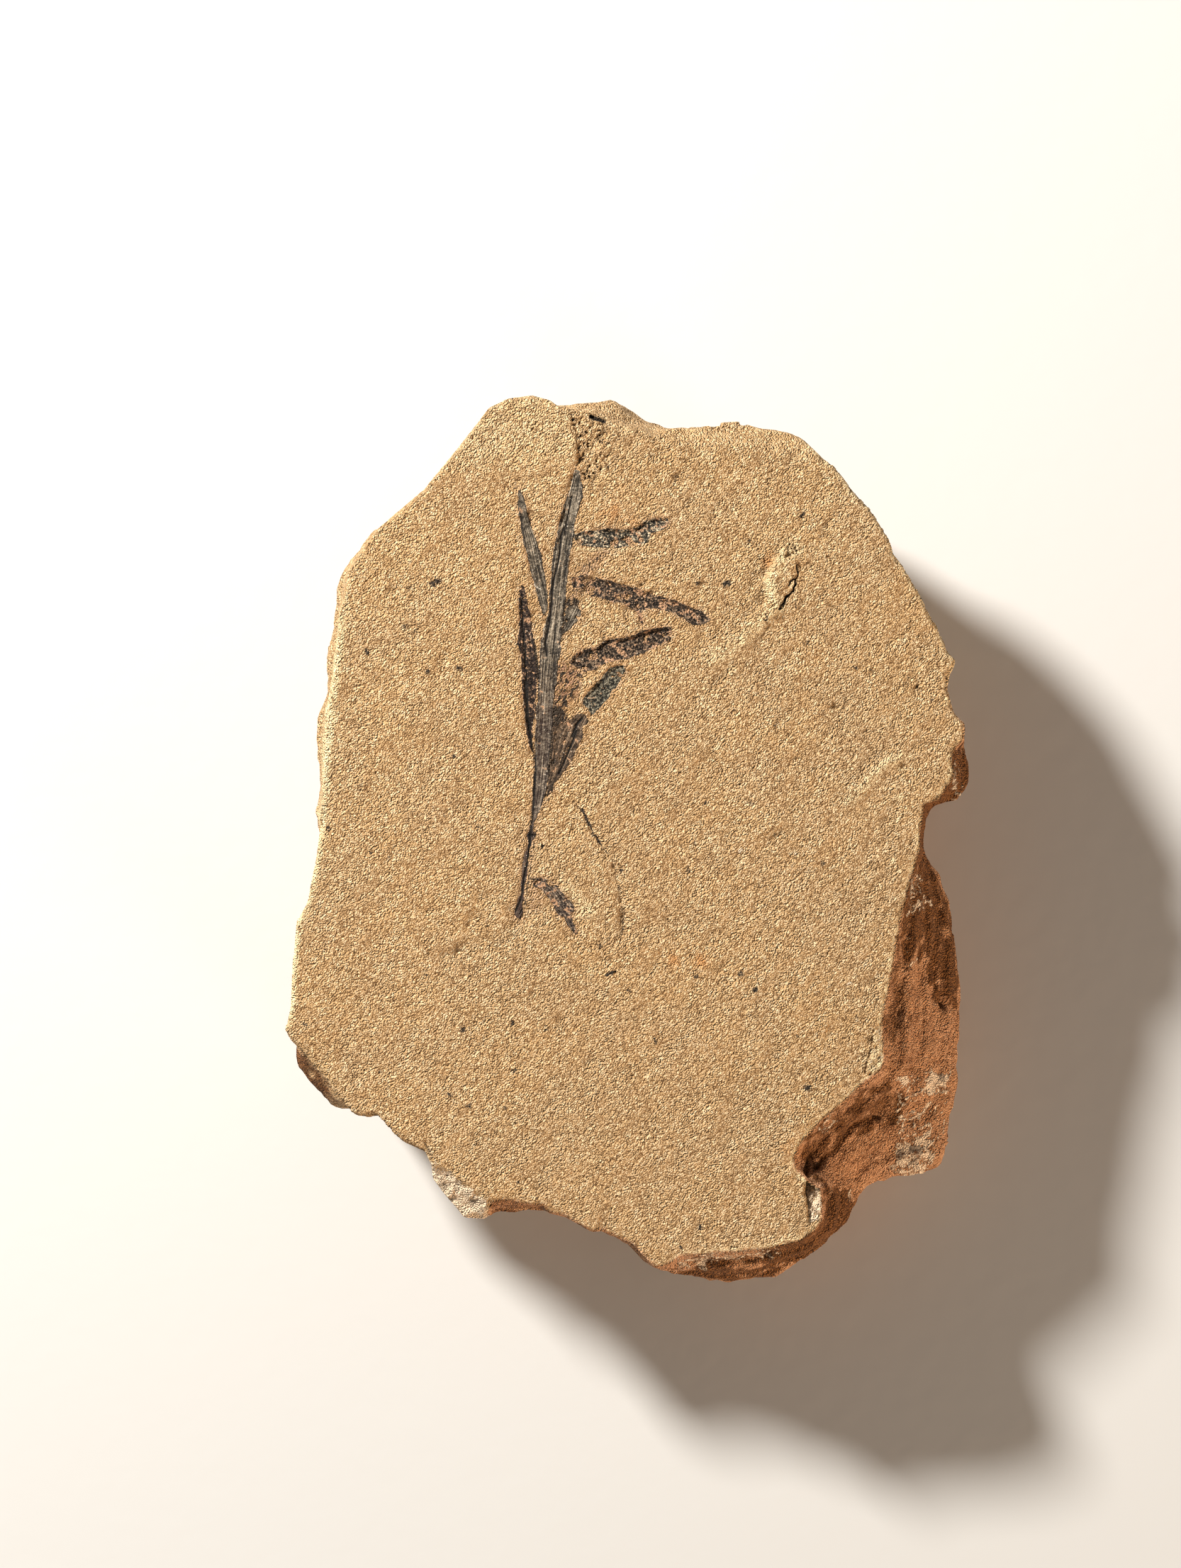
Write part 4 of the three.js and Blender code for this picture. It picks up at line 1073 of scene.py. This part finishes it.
def trimBorder(mesh, name):  # pulls the border from the grid onto the outline
    border = [vert for vert in mesh.verts if vert.is_boundary]
    spots = np.array([vert.co[:] for vert in border]) / mm
    step = 0.02
    depth = flakeDepth(name, spots)
    slopeX = (flakeDepth(name, spots + (step, 0, 0)) - depth) / step
    slopeY = (flakeDepth(name, spots + (0, step, 0)) - depth) / step
    for vert, gap, leanX, leanY in zip(border, depth, slopeX, slopeY):
        if abs(gap) < flake["cell"]:
            steep = max(leanX ** 2 + leanY ** 2, 0.3)
            vert.co.x -= gap * leanX / steep * mm * 0.9
            vert.co.y -= gap * leanY / steep * mm * 0.9
    bmesh.ops.smooth_vert(mesh, verts=border, factor=0.35, use_axis_x=True, use_axis_y=True,
                          use_axis_z=False)


def filmGrid(outline):  # a flat grid that covers a film
    low, high = np.min(outline, axis=0) - 0.3, np.max(outline, axis=0) + 0.3
    size, centre = high - low, (high + low) / 2
    columns, rows = np.ceil(size / flake["cell"]).astype(int).tolist()
    mesh = bmesh.new()
    bmesh.ops.create_grid(mesh, x_segments=columns, y_segments=rows, size=0.5,
                          matrix=Matrix.Translation((*centre * mm, faceHeight * mm))
                          @ Matrix.Diagonal((*size * mm, 1, 1)))
    return mesh


def layOnStone(mesh, groove):
    scales = cloudAt(places(mesh), 0.35, 2, 6.6)
    for vert, scale, dark in zip(mesh.verts, scales, groove):
        hit = plateSurface.ray_cast(Vector((vert.co.x, vert.co.y, 30 * mm)), Vector((0, 0, -1)))[0]
        height = hit.z if hit is not None else faceHeight * mm
        vert.co.z = height + (flake["lift"] + 0.012 * scale - 0.02 * dark) * mm


def filmShares(name, spots, groove):  # what is painted on the corners of a film
    along, across = axisPlaces(filmOutlines[name], spots)
    face = planOf(spots)
    reddish = fade(4, 0.5, face.y) * (0.2 if name == "leaf_low" else 1)
    if name == "stem":
        reddish = highest(reddish, 0.45 * fade(15, 9, face.y))
    hair = highest(*[face.line(line, 0.12) for line in paleHairs])
    return {"line": groove, "along": along, "across": across, "hair": hair, "reddish": reddish}


def buildFilm(name, bare, look):
    mesh = filmGrid(filmOutlines[name])
    dropLost(mesh, name, bare)
    trimBorder(mesh, name)
    spots = places(mesh)
    groove = highest(*[planOf(spots).line(line, halfWidth) for halfWidth, line in filmLines])
    layOnStone(mesh, groove)
    data = smoothMesh(name + "_carbon", mesh)
    paint(data, filmShares(name, spots, groove))
    data.materials.append(carbon(look))
    thing = addObject(name + "_carbon", data)
    body = thing.modifiers.new("Flake thickness", "SOLIDIFY")
    body.thickness, body.offset = flake["thickness"] * mm, -1
    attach(thing, "root")
    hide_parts(name)
    return len(data.polygons)


# Dark, middle and light colour of a film, then the share of stone that shows through, the share
# of fibres, the brightness of the light colour and the darkness of the margins
looks = {
    "fibrous": ((0.02, 0.015, 0.01), (0.155, 0.122, 0.085), (0.54, 0.44, 0.32), -0.01, 0.75, 0.85, 0.7),
    "ribbed": ((0.008, 0.004, 0.003), (0.046, 0.026, 0.016), (0.46, 0.3, 0.19), 0.11, 0.45, 0.58, 0.5),
    "granular": ((0.014, 0.011, 0.008), (0.125, 0.104, 0.072), (0.66, 0.51, 0.33), 0.13, 0, 1.05, 0.2),
    "mottled": ((0.012, 0.008, 0.005), (0.088, 0.055, 0.034), (0.5, 0.35, 0.22), 0.15, 0, 0.45, 0.3),
    "greenish": ((0.014, 0.012, 0.009), (0.094, 0.08, 0.053), (0.47, 0.41, 0.29), 0.04, 0, 0.55, 0.2),
    "brown": ((0.024, 0.014, 0.008), (0.115, 0.072, 0.042), (0.46, 0.32, 0.2), 0.06, 0.7, 0.6, 0.4),
    "streaky": ((0.014, 0.01, 0.008), (0.15, 0.11, 0.075), (0.68, 0.52, 0.36), 0.17, 0.6, 0.9, 0.4),
}


def carbon(look):
    if look + " carbon" in bpy.data.materials:
        return bpy.data.materials[look + " carbon"]
    material, start, metres = newMaterial(look + " carbon")
    dark, middle, light, tan, share, brightness, marginDark = looks[look]
    place = metres.stretched(1000, 1000, 1000)
    onFilm = start.make("ShaderNodeCombineXYZ", {}, {
        "X": start.attribute("along"), "Y": start.attribute("across")})
    fibres = onFilm.stretched(0.22, 10, 1).cloud(1, 3, 0.7)
    grains = place.cloud(0.17, 2, 0.65)
    crumbs = place.cells(0.22)
    patches = place.cloud(0.6, 3, 0.6)
    body = fibres * share + grains * (1 - share) if share else grains
    tone = (body - 0.5) * 2.2 + (patches - 0.5) * 0.6 + 0.5
    colour = tone.fade(0.36, 0.54).between(dark, middle)
    colour = colour.layered((light, tone, 0.54, 0.78, brightness))
    colour = colour.turnedInto((0.06, 0.026, 0.022), start.attribute("reddish") * 0.65)
    gone = (patches * 0.65 + grains * 0.35 + (tan - 0.1) * 0.5).fade(0.555, 0.61)
    colour = colour.turnedInto((0.46, 0.26, 0.145), gone)
    glint = crumbs.fade(0.26, 0.12) * grains.fade(0.52, 0.62) * 0.85
    colour = colour.turnedInto((0.74, 0.66, 0.53), glint)
    line, across = start.attribute("line"), start.attribute("across")
    margin = (across * across).fade(0.09, 0.2) * marginDark
    colour = colour.turnedInto((0.014, 0.009, 0.008), margin * grains.fade(0.62, 0.42))
    colour = colour.turnedInto((0.01, 0.007, 0.005), line.fade(0.12, 0.6))
    colour = colour.layered(((0.8, 0.7, 0.55), start.attribute("hair"), 0.3, 0.9, 0.7))
    height = body * 0.8 + grains * 0.4 - crumbs * 0.25 - line * 0.5
    finishMaterial(start, colour, 0.72 + gone * 0.2, height.bump(0.22), 0.22)
    return material


quads = sum(buildFilm(name, bare, look) for name, (slot, _, bare, look) in films.items())
print("films:", quads, "grid cells")


def addLamp(name, place, size, power, colour):
    lamp = bpy.data.lights.new(name, "AREA")
    lamp.shape, lamp.size = "DISK", size * mm
    lamp.energy, lamp.color = power, colour
    holder = addObject(name, lamp)
    holder.location = Vector(place) * mm
    aim = Vector((0, 0, faceHeight)) * mm - holder.location
    holder.rotation_euler = aim.to_track_quat("-Z", "Y").to_euler()


def addFloor():
    mesh = bmesh.new()
    bmesh.ops.create_grid(mesh, x_segments=8, y_segments=8, size=studio["floorSize"] / 2 * mm)
    data = bpy.data.meshes.new("floor")
    mesh.to_mesh(data)
    mesh.free()
    material, start, metres = newMaterial("Pale floor")
    tone = metres.cloud(0.4, 2, 0.5).fade(0.3, 0.7)
    colour = tone.between((0.63, 0.62, 0.6), (0.59, 0.58, 0.56))
    finishMaterial(start, colour, 0.9, metres.cloud(0.002, 2, 0.5).bump(0.02), 0.2)
    data.materials.append(material)
    addObject("floor", data)


def addCamera():
    camera = bpy.data.cameras.new("camera")
    cameraHeight = studio["camera"][2] - faceHeight
    camera.sensor_width = studio["sensor"]
    camera.lens = studio["sensor"] * cameraHeight / studio["frameHeight"]
    camera.clip_start, camera.clip_end = 0.05, 10
    holder = addObject("camera", camera)
    holder.location = Vector(studio["camera"]) * mm
    bpy.context.scene.camera = holder


addFloor()
addLamp("key lamp", studio["keyAt"], studio["keySize"], studio["keyPower"], (1, 0.97, 0.92))
addLamp("warm lamp", studio["warmAt"], studio["warmSize"], studio["warmPower"], (1, 0.74, 0.51))
world = bpy.data.worlds.new("studio")
world.use_nodes = True
sky = world.node_tree.nodes["Background"].inputs
sky["Color"].default_value = (1, 0.97, 0.93, 1)
sky["Strength"].default_value = studio["skyStrength"]
bpy.context.scene.world = world
bpy.context.scene.view_settings.view_transform = "Standard"
addCamera()
print("studio set up")
